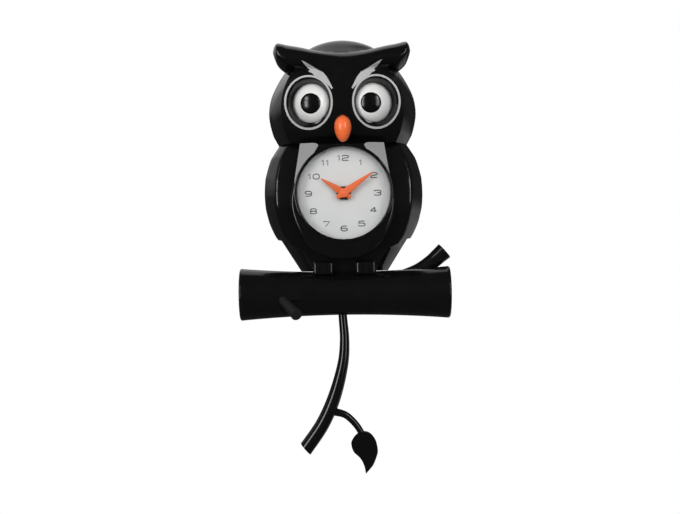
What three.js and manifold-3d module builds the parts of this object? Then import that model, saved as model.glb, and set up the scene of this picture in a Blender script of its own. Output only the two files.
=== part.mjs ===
// Owl pendulum wall clock, in millimetres.
// X runs to the viewer's right, Y into the wall and Z up.
// Heights below are measured from the axis of the hands.

import * as THREE from 'three';
import { mergeVertices } from 'three/addons/utils/BufferGeometryUtils.js';
import Module from 'manifold-3d';

const wasm = await Module();
wasm.setup();

// Fits and facets
const GAP = 0.3;
const RUNNING_FIT = 0.12;
const SLIDING_FIT = 0.15;
const OVERRUN = 5;
const MERGE = 1e-4;
const FINE_SIDES = 24;
const ROUND_SIDES = 16;
const SMALL_SIDES = 8;

// Moulded case
const WALL = 2.4;
const SPLIT_Y = -32;
const SECTION_SIDES = 12;
const SECTION_POWER = 3.4;
const CAVITY_STEPS = 4;
const REAR_DEPTH = 40;
const REAR_FRONT = SPLIT_Y + GAP;
const HANG_HEIGHT = 98;

// Head
const HEAD_BOTTOM = 39.9;
const HEAD_TOP = 125.4;
const HEAD_HALF_WIDTH = 58.6;
const HEAD_DEPTH = 38.5;
const HEAD_STEPS = 8;
// Each row holds a height, a half width and a depth, as shares of the head's own.
const HEAD_PROFILE = [
  [0, 0.867, 0.74], [0.08, 0.93, 0.86], [0.29, 1, 0.974], [0.475, 0.956, 1], [0.67, 0.794, 0.883],
  [0.823, 0.623, 0.727], [0.92, 0.444, 0.52], [0.98, 0.222, 0.26], [1, 0, 0],
];

// Brow and ears: each row holds a place across, a lower edge, an upper edge and a front.
const BROW_BACK = -42;
const BROW_SIDES = 10;
const BROW_POWER = 2.6;
const BROW_STEPS = 6;
const BROW_PROFILE = [
  [0, 76, 107.2, -74.5], [10, 84, 108, -74], [22, 93, 111.6, -72], [33, 96.7, 115, -68],
  [43, 97.5, 117.4, -63], [49.5, 102, 118.4, -59], [53, 108, 117, -56], [54, 112, 114, -52],
];

// Body, belly and tail
const NECK_LAP = 2;
const NECK_HALF = 30;
const BODY_TOP = HEAD_BOTTOM - GAP;
const WING_BOTTOM = -37;
const BODY_HALF_WIDTH = 63.4;
const BODY_DEPTH = 29;
const BODY_STEPS = 7;
const BODY_PROFILE = [
  [0, 0.8, 0.78], [0.07, 0.869, 0.87], [0.18, 0.938, 0.95], [0.298, 0.978, 0.98], [0.435, 1, 1],
  [0.56, 1, 1], [0.705, 0.978, 0.98], [0.839, 0.926, 0.95], [1, 0.815, 0.88],
];
const BELLY_FRONT = -62.5;
const BELLY_BACK = -46;
const BELLY_ROUND = 2.4;
const BELLY_STEPS = 14;
// Right half of the belly's outline, from the chest down to its lowest point.
const BELLY_OUTLINE = [
  [34, 39], [37.5, 17], [40, 5], [41, -8], [38, -22], [30, -37.5], [16, -49.5], [0, -52.5],
];
const TAIL_TOP = -30;
const TAIL_BOTTOM = -60.7;
const TAIL_FRONT = -48.5;
const TAIL_TOP_HALF = 52;
const TAIL_BOTTOM_HALF = 34.3;
const TAIL_FACET = 11;
const SADDLE_HALF = 24;
const SADDLE_TOP = -46;

// Eyes
const EYE_X = 22;
const EYE_Y = -52;
const EYE_Z = 70.7;
const EYE_RADIUS = 17.5;
const EYE_SIDES = 12;
const EYE_WALL = 2;
const EYE_GAP = 1.2;
const EYE_REAR = 4;
const GLANCE = { left: -10.5, right: 0.7 };
const PUPIL_RADIUS = 8;
const PUPIL_LIP = 1;
const PUPIL_RISE = 0.3;
const SOCKET_TURN = 18;
const APERTURE = 15;
const RIM_HALF_WIDTH = 20;
const RIM_HALF_HEIGHT = 21.8;
const RIM_REACH = 19;
const SOCKET_WALL = 2.2;
const AXLE_RADIUS = 2;
const AXLE_COLLAR = 3.2;
const COLLAR_HEIGHT = 1.6;
const CRANK = 14.5;
const CRANK_WIDTH = 6;
const CRANK_THICK = 3;
const CRANK_PIN = 1.2;
const EYE_PLATE = 2.5;
const PLATE_MARGIN = 1.8;

// Eye link
const LINK_THICK = 2;
const LINK_DEPTH = 7;
const LINK_TAB = 8;
const LINK_TAB_THICK = 3;
const LINK_TAB_DROP = 5;
const LINK_TRAVEL_PLAY = 0.9;
const PIN_PLAY = 0.5;

// Beak: each row holds a half width and a height.
const BEAK_PROFILE = [[0, 38], [2.8, 40], [6.75, 50.5], [4.2, 57.4], [0, 59.4]];
const BEAK_DEEPER = 1.26;
const BEAK_Y = -72;
const BEAK_STEPS = 6;
const BEAK_PEG = 2;
const BEAK_PEG_Z = 46.5;
const BEAK_PEG_END = -59.8;

// Dial, bezel and lens
const DIAL_THICK = 1;
const DIAL_WELL = 38.3;
const BEZEL_INNER = 36.3;
const BEZEL_LEDGE = 0.4;
const BEZEL_FLANGE = 0.8;
const LENS_SEAT = 0.5;
const LENS_THICK = 1;
const LENS_DOME = 1.9;
const LENS_STEPS = 2;

// Movement
const CASE_HALF = 28;
const CASE_WALL = 1.8;
const CASE_DEPTH = 15.2;
const PLATE_THICK = 1.5;
const MOVEMENT_BACK = -36.2;
const CASE_FRONT = MOVEMENT_BACK - CASE_DEPTH;
const PLATE_BACK = CASE_FRONT - GAP;
const PLATE_FRONT = PLATE_BACK - PLATE_THICK;
const WASHER_RADIUS = 10;
const WASHER_THICK = 0.5;
const DIAL_BACK = PLATE_FRONT - WASHER_THICK - 2 * GAP;
const DIAL_FRONT = DIAL_BACK - DIAL_THICK;
const STEM_RADIUS = 4;
const NUT_RADIUS = 6;
const NUT_THICK = 2.5;
const NUT_SIDES = 6;
const NUT_BACK = DIAL_FRONT - GAP;
const STEM_FRONT = NUT_BACK - NUT_THICK - GAP;

// Hands and motion work
const MODULE = 0.54;
const CANNON_TEETH = 10;
const MINUTE_TEETH = 30;
const PINION_TEETH = 8;
const HOUR_TEETH = 32;
const HALF_TOOTH = 0.5;
const CENTRES = MODULE * (CANNON_TEETH + MINUTE_TEETH) / 2;
const HOUR_MODULE = 2 * CENTRES / (PINION_TEETH + HOUR_TEETH);
const ADDENDUM = 0.9;
const DEDENDUM = 1.25;
const TOOTH_ROOT = 0.29;
const TOOTH_TIP = 0.135;
const WHEEL_THICK = 1.4;
const PINION_THICK = 1.8;
const WHEEL_GAP = 0.6;
const ARBOR_RADIUS = 1.5;
const PIPE_RADIUS = 2.5;
const STUD_RADIUS = 0.9;
const PIVOT_RADIUS = 0.9;
const HAND_THICK = 0.9;
const HAND_RIDGE = 0.5;
const HAND_SPACE = 0.4;
const HAND_BOSS = 4.2;
const HAND_ROOT = 3.2;
const HAND_TAIL = 6.7;
const HAND_TAIL_SHARE = 0.6;
const HAND_TIP = 0.35;
const HOUR_LENGTH = 22.5;
const MINUTE_LENGTH = 28;
const HOUR_ANGLE = 304.5;
const MINUTE_ANGLE = 54;
const KNOB_RADIUS = 3.6;
const KNOB_THICK = 3.5;
const KNOB_RIBS = 9;
const KNOB_RIB_DEPTH = 0.5;
const SET_ARBOR_RADIUS = 1.2;

// Battery, board and coils
const BATTERY_RADIUS = 7.25;
const BATTERY_HALF = 24.6;
const BATTERY_NUB = 2.7;
const BATTERY_NUB_LENGTH = 1;
const CONTACT_THICK = 0.4;
const CONTACT_HALF = 5;
const TRAY_WALL = 1.3;
const BOARD_HALF = 20;
const BOARD_BOTTOM = 12;
const BOARD_TOP = 25;
const BOARD_THICK = 1;
const COIL_FLANGE = 1;
const MOTOR_COIL = { radius: 4, half: 9, x: -8, z: 18.5 };
const DRIVE_HALF = 16;
const DRIVE_BOTTOM = 2;
const DRIVE_TOP = 33;
const DRIVE_BACK = -22;
const DRIVE_COIL = { outer: 7, inner: 3, depth: 5 };

// Pendulum
const PIVOT_Z = 27;
const PIVOT_PIN = 1.5;
const PIN_HEAD = 2.6;
const PIN_HEAD_THICK = 1.2;
const HANGER_FRONT = -19;
const HANGER_THICK = 3;
const HANGER_BACK = HANGER_FRONT + HANGER_THICK;
const HANGER_HALF = 4.5;
const HANGER_TOP_HALF = 3;
const CLIP_RADIUS = 3;
const CLIP_THICK = 0.8;
const MAGNET_Z = 12;
const MAGNET_RADIUS = 4;
const MAGNET_THICK = 2;
const DRIVE_PIN = 1.5;
const HOOK_Z = 2;
const HOOK_BEND = 2.5;
const HOOK_REACH = 1.2;
const ROD_RADIUS = 1.5;
const ROD_Y = -14;
const ROD_END = [-2.1, -99];
const BRANCH_BORE_DEPTH = 12;
const BRANCH_WALL = 1.5;
const BRANCH_SIDES = 8;
const BRANCH_STEPS = 10;
// Each row holds a place across, a height and a radius.
const BRANCH_PATH = [
  [-1.9, -86, 3.4], [-2.1, -98, 3.5], [-0.9, -118, 3.9], [-2.6, -138.2, 4.5], [-9.9, -164.8, 5.4],
  [-20, -187.1, 5.8], [-34.3, -207.5, 5.95],
];
const STEM_PATH = [[-13, -176.5], [-2.5, -179.1], [3.7, -183.7], [9, -190], [13.5, -198]];
const LEAF_STEM = 2.6;
const LEAF_STEM_STEPS = 5;
const LEAF_THICK = 6;
const LEAF_STEPS = 7;
// Each row holds the blade's left edge, right edge and height.
const LEAF_PROFILE = [
  [14.2, 14.2, -193.4], [7.2, 20.4, -196.4], [3.3, 24.3, -203.6], [5.2, 25.1, -210], [10.5, 23.6, -215.3],
  [13.6, 20.9, -221.3], [15, 15, -228.2],
];

// Log, twig, peg and feet
const LOG_Y = -44;
const LOG_Z = -79.4;
const LOG_HALF = 84.5;
const LOG_END = 20.3;
const LOG_WAIST = 17;
const LOG_ROUND = 2.2;
const LOG_STEPS = 8;
const PERCH_HALF = 36;
const PERCH_FRONT = -49;
const PERCH_BACK = -37;
const PERCH_RISE = 0.6;
const PERCH_TOP = LOG_Z + LOG_WAIST + PERCH_RISE;
const TWIG_RADIUS = 6.5;
const TWIG_Y = -37;
const TWIG_PATH = [[42, -73], [60, -61.8], [80.9, -46.4]];
const TWIG_STEPS = 5;
const TENON_RADIUS = 2.4;
// Places along the twig: the bottom of its hole, its tenon's end and its shoulder.
const TENON_SHARES = [0.18, 0.22, 0.7];
const PEG_RADIUS = 3.85;
const PEG_BASE = new THREE.Vector3(-51.2, -57, -79.5);
const PEG_END = new THREE.Vector3(-37.6, -79, -93);
const FOOT_X = 17;
const TOE_SPREAD = 5.2;
const TOES = 3;
const TOE = { halfWidth: 3.1, halfLength: 7.5, halfHeight: 6, y: -52.5, z: -58.6 };

// Screws
const SCREW_RADIUS = 1.5;
const SCREW_HEAD = 3;
const SCREW_HEAD_THICK = 2.4;
const SCREW_FIT = 0.12;
const SCREW_BITE = 12;
const BOSS_RADIUS = 4.4;
const CASE_SCREWS = [[-48, 62], [48, 62], [-50, -10], [50, -10]];
const CASE_SEAT = -14;
const LOG_SCREW_X = 66;
const LOG_SEAT = -34;
const PERCH_SCREW_X = 16;
const PERCH_SCREW_Y = -39;
const PERCH_SEAT = -69;
const PERCH_SCREW_END = -50;

// Openings in the back
const WINDOW_HALF = 25.6;
const WINDOW_BOTTOM = -28;
const WINDOW_TOP = 36;
const RAIL_THICK = 2.4;
const KEYHOLE_Z = 82;
const KEYHOLE_RADIUS = 4.5;
const KEYSLOT_HALF = 2.5;
const KEYSLOT_TOP = 92;
const ROD_SLOT_HALF = 12;
const ROD_SLOT_DEPTH = 9;

// Solids from three.js geometry
function toSolid(geometry) {
  const bare = new THREE.BufferGeometry();
  bare.setAttribute('position', geometry.attributes.position);
  bare.setIndex(geometry.index);
  const merged = mergeVertices(bare, MERGE);
  const points = merged.attributes.position.array;
  const corners = merged.index.array;
  const triangles = [];
  let volume = 0;
  for (let i = 0; i < corners.length; i += 3) {
    const [a, b, c] = corners.slice(i, i + 3);
    if (a === b || b === c || c === a) continue;
    triangles.push(a, b, c);
    const [p, q, r] = [a, b, c].map((k) => new THREE.Vector3().fromArray(points, 3 * k));
    volume += p.dot(q.cross(r));
  }
  if (volume < 0) triangles.reverse();
  return new wasm.Manifold(new wasm.Mesh({
    numProp: 3,
    vertProperties: Float32Array.from(points),
    triVerts: Uint32Array.from(triangles),
  }));
}

function toGeometry(solid) {
  const { vertProperties, triVerts } = solid.getMesh();
  const geometry = new THREE.BufferGeometry();
  geometry.setAttribute('position', new THREE.BufferAttribute(Float32Array.from(vertProperties), 3));
  geometry.setIndex(Array.from(triVerts));
  geometry.computeVertexNormals();
  return geometry;
}

function joined(solids) {
  return solids.reduce((whole, solid) => whole.add(solid));
}

function box(x, y, z) {
  const size = [x, y, z].map(([low, high]) => high - low);
  const middle = [x, y, z].map(([low, high]) => (low + high) / 2);
  return toSolid(new THREE.BoxGeometry(...size).translate(...middle));
}

// A turned piece: rows of radius and place along the axis.
function turned(profile, axis, at, sides = SMALL_SIDES) {
  const points = profile.map(([radius, along]) => new THREE.Vector2(radius, along));
  const geometry = new THREE.LatheGeometry(points, sides);
  if (axis === 'z') geometry.rotateX(Math.PI / 2);
  if (axis === 'x') geometry.rotateZ(-Math.PI / 2);
  return toSolid(geometry.translate(...at));
}

function pin(radius, axis, from, to, at, sides = SMALL_SIDES) {
  return turned([[0, from], [radius, from], [radius, to], [0, to]], axis, at, sides);
}

// A closed skin through rings of equal count, with a fan over each end.
function loft(rings) {
  const count = rings[0].length;
  const middles = [rings[0], rings[rings.length - 1]].map((ring) => (
    ring.reduce((sum, p) => sum.add(p), new THREE.Vector3()).divideScalar(count)));
  const points = rings.flat().concat(middles);
  const index = [];
  const first = points.length - 2;
  const lastRing = (rings.length - 1) * count;
  for (let i = 0; i < count; i += 1) {
    const next = (i + 1) % count;
    for (let row = 0; row < lastRing; row += count) {
      index.push(row + i, row + next, row + count + i, row + next, row + count + next, row + count + i);
    }
    index.push(first, next, i, first + 1, lastRing + i, lastRing + next);
  }
  const geometry = new THREE.BufferGeometry().setFromPoints(points);
  geometry.setIndex(index);
  return toSolid(geometry);
}

// A flat outline in X and Z, given thickness in Y from front to back.
function plate(shape, front, back, options = {}) {
  const geometry = new THREE.ExtrudeGeometry(shape, {
    depth: back - front, bevelEnabled: false, curveSegments: ROUND_SIDES / 2, ...options,
  });
  return toSolid(geometry.rotateX(Math.PI / 2).translate(0, back, 0));
}

function shapeOf(points) {
  return new THREE.Shape(points.map(([x, z]) => new THREE.Vector2(x, z)));
}

function power(value, exponent) {
  return Math.sign(value) * Math.abs(value) ** exponent;
}

// Half a rounded section, flat along the split, carried past it by a straight length.
function halfSection(halfWidth, depth, height, facing, past, split) {
  const ring = [];
  for (let i = 0; i <= SECTION_SIDES; i += 1) {
    const angle = Math.PI * i / SECTION_SIDES;
    const x = halfWidth * power(Math.cos(angle), 2 / SECTION_POWER);
    const y = split + facing * depth * power(Math.sin(angle), 2 / SECTION_POWER);
    ring.push(new THREE.Vector3(x, y, height));
  }
  ring[0].y -= facing * past;
  ring[SECTION_SIDES].y -= facing * past;
  return ring;
}

// A half shell's form, drawn in by an inset on every side.
// A hollow is drawn with fewer steps than the form round it.
function halfForm(profile, form, facing, inset, past = 0) {
  const curve = new THREE.CatmullRomCurve3(profile.map(([rise, width, depth]) => new THREE.Vector3(
    width * (form.halfWidth - inset),
    depth * (form.depth - inset),
    THREE.MathUtils.lerp(form.bottom + inset, form.top - inset, rise),
  )));
  const split = facing < 0 ? SPLIT_Y : REAR_FRONT;
  const steps = inset > 0 ? CAVITY_STEPS : form.steps;
  const rings = curve.getSpacedPoints(steps).map((p) => (
    halfSection(p.x, p.y, p.z, facing, past, split)));
  return loft(rings);
}

const FRONT = -1;
const REAR = 1;
const HEAD = {
  halfWidth: HEAD_HALF_WIDTH, depth: HEAD_DEPTH, bottom: HEAD_BOTTOM, top: HEAD_TOP, steps: HEAD_STEPS,
};
const BODY = {
  halfWidth: BODY_HALF_WIDTH, depth: BODY_DEPTH, bottom: WING_BOTTOM, top: BODY_TOP, steps: BODY_STEPS,
};

// Tail: a tapering block with a flat front and a slanted facet at each side.
function tailForm(facing, inset, past = 0) {
  const split = facing < 0 ? SPLIT_Y : REAR_FRONT;
  const deep = facing < 0 ? TAIL_FRONT + inset : 0 - inset;
  const ring = (half, height) => [
    [half - inset, split - facing * past], [half - TAIL_FACET - inset, deep],
    [TAIL_FACET + inset - half, deep], [inset - half, split - facing * past],
  ].map(([x, y]) => new THREE.Vector3(x, y, height));
  return loft([ring(TAIL_TOP_HALF, TAIL_TOP), ring(TAIL_BOTTOM_HALF, TAIL_BOTTOM + inset)]);
}

// Bosses and the holes of screws that run along Y, head towards the wall
function boss(x, z, from, to) {
  return pin(BOSS_RADIUS, 'y', from, to, [x, 0, z]);
}

function screwHole(x, z, seat, mouth, bottom) {
  const hole = pin(SCREW_RADIUS + SCREW_FIT, 'y', bottom, mouth, [x, 0, z]);
  const recess = pin(SCREW_HEAD + GAP, 'y', seat, mouth, [x, 0, z]);
  return hole.add(recess);
}

function screw(length) {
  return turned([
    [0, -length], [SCREW_RADIUS, SCREW_RADIUS - length], [SCREW_RADIUS, 0], [SCREW_HEAD, 0],
    [SCREW_HEAD / 2, SCREW_HEAD_THICK], [0, SCREW_HEAD_THICK],
  ], 'y', [0, 0, 0]);
}

// Brow: one form from ear tip to ear tip, rounded in section
function browForm() {
  const mirrored = BROW_PROFILE.slice(1).reverse().map(([x, ...edges]) => [-x, ...edges]);
  const rows = [...mirrored, ...BROW_PROFILE];
  const edges = new THREE.CatmullRomCurve3(rows.map(([x, low, high]) => new THREE.Vector3(x, low, high)));
  const fronts = new THREE.CatmullRomCurve3(rows.map(([x, , , front]) => new THREE.Vector3(x, front, 0)));
  const rings = [];
  for (let step = 0; step <= 2 * BROW_STEPS; step += 1) {
    const { x, y: low, z: high } = edges.getPoint(step / (2 * BROW_STEPS));
    const front = fronts.getPoint(step / (2 * BROW_STEPS)).y;
    const ring = [];
    for (let i = 0; i < BROW_SIDES; i += 1) {
      const angle = 2 * Math.PI * i / BROW_SIDES;
      const y = (front + BROW_BACK + (BROW_BACK - front) * power(Math.cos(angle), 2 / BROW_POWER)) / 2;
      const z = (low + high + (high - low) * power(Math.sin(angle), 2 / BROW_POWER)) / 2;
      ring.push(new THREE.Vector3(x, y, z));
    }
    rings.push(ring);
  }
  return loft(rings);
}

// Eye socket: a cone turned outwards, wider at the rim than at the aperture
const SEAT_RADIUS = EYE_RADIUS + EYE_GAP;
const APERTURE_REACH = Math.sqrt(SEAT_RADIUS ** 2 - APERTURE ** 2);

function socketForm(side, grow, from, to) {
  const turn = THREE.MathUtils.degToRad(side * SOCKET_TURN);
  const up = new THREE.Vector3(0, 0, 1);
  const centre = new THREE.Vector3(side * EYE_X, EYE_Y, EYE_Z);
  const ring = (reach) => {
    const share = (reach - APERTURE_REACH) / (RIM_REACH - APERTURE_REACH);
    const halfWidth = THREE.MathUtils.lerp(APERTURE, RIM_HALF_WIDTH, share) + grow;
    const halfHeight = THREE.MathUtils.lerp(APERTURE, RIM_HALF_HEIGHT, share) + grow;
    return Array.from({ length: ROUND_SIDES }, (_, i) => {
      const angle = 2 * Math.PI * i / ROUND_SIDES;
      const point = new THREE.Vector3(halfWidth * Math.cos(angle), -reach, halfHeight * Math.sin(angle));
      return point.applyAxisAngle(up, turn).add(centre);
    });
  };
  return loft([ring(from), ring(to)]);
}

function ball(radius, at, sides) {
  const geometry = new THREE.SphereGeometry(radius, sides, sides / 2);
  return toSolid(geometry.rotateX(Math.PI / 2).translate(...at));
}

const SIDES = { left: -1, right: 1 };
const headScrews = CASE_SCREWS.filter(([, z]) => z > HEAD_BOTTOM);
const bodyScrews = CASE_SCREWS.filter(([, z]) => z < HEAD_BOTTOM);
const CASE_SCREW_END = SPLIT_Y - SCREW_BITE;

function withFrontBosses(shell, outer, places) {
  return places.reduce((whole, [x, z]) => {
    const post = boss(x, z, SPLIT_Y - HEAD_DEPTH, SPLIT_Y).intersect(outer);
    return whole.add(post).subtract(
      pin(SCREW_RADIUS + SCREW_FIT, 'y', CASE_SCREW_END, SPLIT_Y + OVERRUN, [x, 0, z]));
  }, shell);
}

function headShell() {
  const outer = halfForm(HEAD_PROFILE, HEAD, FRONT, 0).add(browForm());
  let shell = outer.subtract(halfForm(HEAD_PROFILE, HEAD, FRONT, WALL, OVERRUN));
  for (const side of Object.values(SIDES)) {
    const reach = APERTURE_REACH - SOCKET_WALL;
    const funnel = socketForm(side, SOCKET_WALL, reach, RIM_REACH + 2 * OVERRUN).intersect(outer);
    shell = shell.add(funnel).subtract(socketForm(side, 0, reach, RIM_REACH + 3 * OVERRUN));
    shell = shell.subtract(ball(SEAT_RADIUS, [side * EYE_X, EYE_Y, EYE_Z], ROUND_SIDES));
  }
  shell = shell.subtract(pin(BEAK_PEG + GAP, 'y', BEAK_Y, SPLIT_Y - OVERRUN, [0, 0, BEAK_PEG_Z]));
  return withFrontBosses(shell, outer, headScrews);
}

function bellyShape(inset) {
  const share = 1 - inset / Math.max(...BELLY_OUTLINE.map(([x]) => x));
  const right = BELLY_OUTLINE.map(([x, z]) => new THREE.Vector2(x * share, z * share));
  const left = right.slice(0, -1).reverse().map(({ x, y }) => new THREE.Vector2(-x, y));
  return new THREE.Shape(new THREE.SplineCurve([...right, ...left]).getPoints(BELLY_STEPS));
}

function bodyShell() {
  const belly = plate(bellyShape(0), BELLY_FRONT + BELLY_ROUND, BELLY_BACK - BELLY_ROUND, {
    bevelEnabled: true, bevelThickness: BELLY_ROUND, bevelSize: BELLY_ROUND, bevelOffset: -BELLY_ROUND,
    bevelSegments: 2,
  });
  const outer = joined([halfForm(BODY_PROFILE, BODY, FRONT, 0), belly, tailForm(FRONT, 0)]);
  const cavity = joined([
    halfForm(BODY_PROFILE, BODY, FRONT, WALL, OVERRUN), tailForm(FRONT, WALL, OVERRUN),
    plate(bellyShape(WALL), BELLY_FRONT + WALL, SPLIT_Y + OVERRUN),
  ]);
  const wellBack = DIAL_BACK + GAP;
  const well = pin(DIAL_WELL + WALL, 'y', BELLY_FRONT + WALL / 2, wellBack, [0, 0, 0], FINE_SIDES);
  const dialHole = pin(DIAL_WELL, 'y', BELLY_FRONT - OVERRUN, wellBack + OVERRUN, [0, 0, 0], FINE_SIDES);
  const saddle = box(
    [-SADDLE_HALF, SADDLE_HALF], [TAIL_FRONT + WALL / 2, SPLIT_Y], [PERCH_TOP + GAP, SADDLE_TOP]);
  let shell = outer.subtract(cavity).add(well.intersect(outer)).subtract(dialHole).add(saddle);
  for (const side of Object.values(SIDES)) {
    const hole = pin(SCREW_RADIUS + SCREW_FIT, 'z', PERCH_TOP, PERCH_SCREW_END, [
      side * PERCH_SCREW_X, PERCH_SCREW_Y, 0]);
    shell = shell.subtract(hole);
  }
  return withFrontBosses(shell, outer, bodyScrews);
}

function rearForm(inset, past) {
  const head = { ...HEAD, depth: REAR_DEPTH };
  const body = { ...BODY, depth: REAR_DEPTH, top: HEAD_BOTTOM + NECK_LAP };
  const whole = joined([
    halfForm(HEAD_PROFILE, head, REAR, inset, past), halfForm(BODY_PROFILE, body, REAR, inset, past),
    tailForm(REAR, inset, past),
  ]);
  const beyond = 2 * BODY_HALF_WIDTH;
  return whole.intersect(box([-beyond, beyond], [SPLIT_Y - beyond, -inset], [-beyond, beyond]));
}

function rearCover() {
  const outer = rearForm(0, 0);
  const neck = box([-NECK_HALF, NECK_HALF], [REAR_FRONT - OVERRUN, -WALL], [
    HEAD_BOTTOM - OVERRUN, HEAD_BOTTOM + OVERRUN]);
  let cover = outer.subtract(rearForm(WALL, OVERRUN)).subtract(neck);
  for (const side of Object.values(SIDES)) {
    const across = [WINDOW_HALF, WINDOW_HALF + RAIL_THICK].map((x) => side * x).sort((a, b) => a - b);
    cover = cover.add(box(across, [MOVEMENT_BACK + GAP, -WALL / 2], [-CASE_HALF, CASE_HALF]));
  }
  for (const [x, z] of CASE_SCREWS) {
    cover = cover.add(boss(x, z, REAR_FRONT, 0).intersect(outer));
    cover = cover.subtract(screwHole(x, z, CASE_SEAT, OVERRUN, REAR_FRONT - OVERRUN));
  }
  const through = [-2 * WALL, OVERRUN];
  return [
    box([-WINDOW_HALF, WINDOW_HALF], through, [WINDOW_BOTTOM, WINDOW_TOP]),
    pin(KEYHOLE_RADIUS, 'y', ...through, [0, 0, KEYHOLE_Z], ROUND_SIDES),
    box([-KEYSLOT_HALF, KEYSLOT_HALF], through, [KEYHOLE_Z, KEYSLOT_TOP]),
    pin(KEYSLOT_HALF, 'y', ...through, [0, 0, KEYSLOT_TOP]),
    box([-ROD_SLOT_HALF, ROD_SLOT_HALF], [ROD_Y - ROD_SLOT_DEPTH / 2, ROD_Y + ROD_SLOT_DEPTH / 2],
      [TAIL_BOTTOM - OVERRUN, TAIL_BOTTOM + 2 * WALL]),
  ].reduce((whole, cut) => whole.subtract(cut), cover);
}

// Beak: an egg drawn to a rounded point, with a peg into the head
function beak() {
  const outline = new THREE.SplineCurve(BEAK_PROFILE.map(([x, z]) => new THREE.Vector2(x, z)));
  const geometry = new THREE.LatheGeometry(outline.getPoints(BEAK_STEPS), ROUND_SIDES).rotateX(Math.PI / 2);
  geometry.scale(1, BEAK_DEEPER, 1).translate(0, BEAK_Y, 0);
  const peg = pin(BEAK_PEG, 'y', BEAK_Y, BEAK_PEG_END, [0, 0, BEAK_PEG_Z]);
  return toSolid(geometry).subtract(halfForm(HEAD_PROFILE, HEAD, FRONT, -GAP)).add(peg);
}

// A round limb along a path, with its own radius at each centre.
function limb(centres, radii, side, sides = SMALL_SIDES) {
  const rings = centres.map((centre, i) => {
    const before = centres[Math.max(i - 1, 0)];
    const after = centres[Math.min(i + 1, centres.length - 1)];
    const along = after.clone().sub(before).normalize();
    const across = side.clone().addScaledVector(along, -side.dot(along)).normalize();
    const third = along.clone().cross(across);
    return Array.from({ length: sides }, (_, k) => {
      const angle = 2 * Math.PI * k / sides;
      return centre.clone()
        .addScaledVector(across, radii[i] * Math.cos(angle))
        .addScaledVector(third, radii[i] * Math.sin(angle));
    });
  });
  return loft(rings);
}

function evenLimb(centres, radius, side, sides) {
  return limb(centres, centres.map(() => radius), side, sides);
}

const TO_WALL = new THREE.Vector3(0, 1, 0);
const TO_RIGHT = new THREE.Vector3(1, 0, 0);

// Log: a waisted round with softened ends and a flat perch on top
function logForm(grow) {
  const half = LOG_HALF + grow;
  const profile = [[0, -half], [LOG_END - LOG_ROUND + grow, -half]];
  for (let step = 0; step <= LOG_STEPS; step += 1) {
    const share = 2 * step / LOG_STEPS - 1;
    profile.push([LOG_WAIST + (LOG_END - LOG_WAIST) * share ** 2 + grow, share * (half - LOG_ROUND)]);
  }
  profile.push([LOG_END - LOG_ROUND + grow, half], [0, half]);
  return turned(profile, 'x', [0, LOG_Y, LOG_Z], ROUND_SIDES);
}

function perchForm(grow) {
  return box([-PERCH_HALF - grow, PERCH_HALF + grow], [PERCH_FRONT - grow, PERCH_BACK + grow], [
    LOG_Z, PERCH_TOP + grow]);
}

const twigCurve = new THREE.CatmullRomCurve3(TWIG_PATH.map(([x, z]) => new THREE.Vector3(x, TWIG_Y, z)));
const twigCentres = twigCurve.getPoints(TWIG_STEPS);
const [twigRoot, twigTenon, twigSeat] = TENON_SHARES.map((share) => twigCurve.getPoint(share));
const pegMiddle = PEG_BASE.clone().add(PEG_END).divideScalar(2);
const pegRoot = PEG_BASE.clone().lerp(PEG_END, -GAP / PEG_BASE.distanceTo(PEG_END));

function logHalf(facing) {
  const outer = logForm(0).add(perchForm(0));
  const inside = LOG_HALF - WALL;
  let log = outer.subtract(pin(LOG_WAIST - WALL, 'x', -inside, inside, [0, LOG_Y, LOG_Z], ROUND_SIDES));
  for (const side of Object.values(SIDES)) {
    const x = side * LOG_SCREW_X;
    const place = [side * PERCH_SCREW_X, PERCH_SCREW_Y, 0];
    log = log.add(boss(x, LOG_Z, LOG_Y - LOG_END, LOG_Y + LOG_END).intersect(outer));
    log = log.subtract(screwHole(x, LOG_Z, LOG_SEAT, LOG_Y + LOG_END + OVERRUN, LOG_Y - SCREW_BITE));
    log = log.add(pin(BOSS_RADIUS, 'z', PERCH_SEAT, PERCH_TOP, place).intersect(outer));
    log = log.subtract(pin(SCREW_RADIUS + SCREW_FIT, 'z', LOG_Z, PERCH_TOP + OVERRUN, place));
  }
  log = log.subtract(evenLimb([twigRoot, twigSeat], TENON_RADIUS + GAP, TO_WALL));
  log = log.subtract(evenLimb([pegRoot, pegMiddle], TENON_RADIUS + GAP, TO_WALL));
  const edge = LOG_Y + facing * GAP / 2;
  const far = LOG_Y + facing * 2 * LOG_END;
  const reach = [edge, far].sort((a, b) => a - b);
  return log.intersect(box([-2 * LOG_HALF, 2 * LOG_HALF], reach, [LOG_Z - LOG_HALF, LOG_Z + LOG_HALF]));
}

function twig() {
  const tenon = evenLimb([twigTenon, twigSeat], TENON_RADIUS, TO_WALL);
  return evenLimb(twigCentres, TWIG_RADIUS, TO_WALL).subtract(logForm(GAP)).add(tenon);
}

function peg() {
  const shaft = evenLimb([PEG_BASE, PEG_END], PEG_RADIUS, TO_WALL);
  return shaft.subtract(logForm(GAP)).add(evenLimb([PEG_BASE, pegMiddle], TENON_RADIUS, TO_WALL));
}

function foot() {
  const toes = Array.from({ length: TOES }, (_, i) => {
    const geometry = new THREE.SphereGeometry(1, SMALL_SIDES, SMALL_SIDES / 2);
    geometry.scale(TOE.halfWidth, TOE.halfLength, TOE.halfHeight);
    return toSolid(geometry.translate((i - (TOES - 1) / 2) * TOE_SPREAD, TOE.y, TOE.z));
  });
  const far = 2 * LOG_HALF;
  const behind = box([-far, far], [TAIL_FRONT - GAP, far], [-far, far]);
  return joined(toes).subtract(logForm(GAP)).subtract(perchForm(GAP)).subtract(behind);
}

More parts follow.
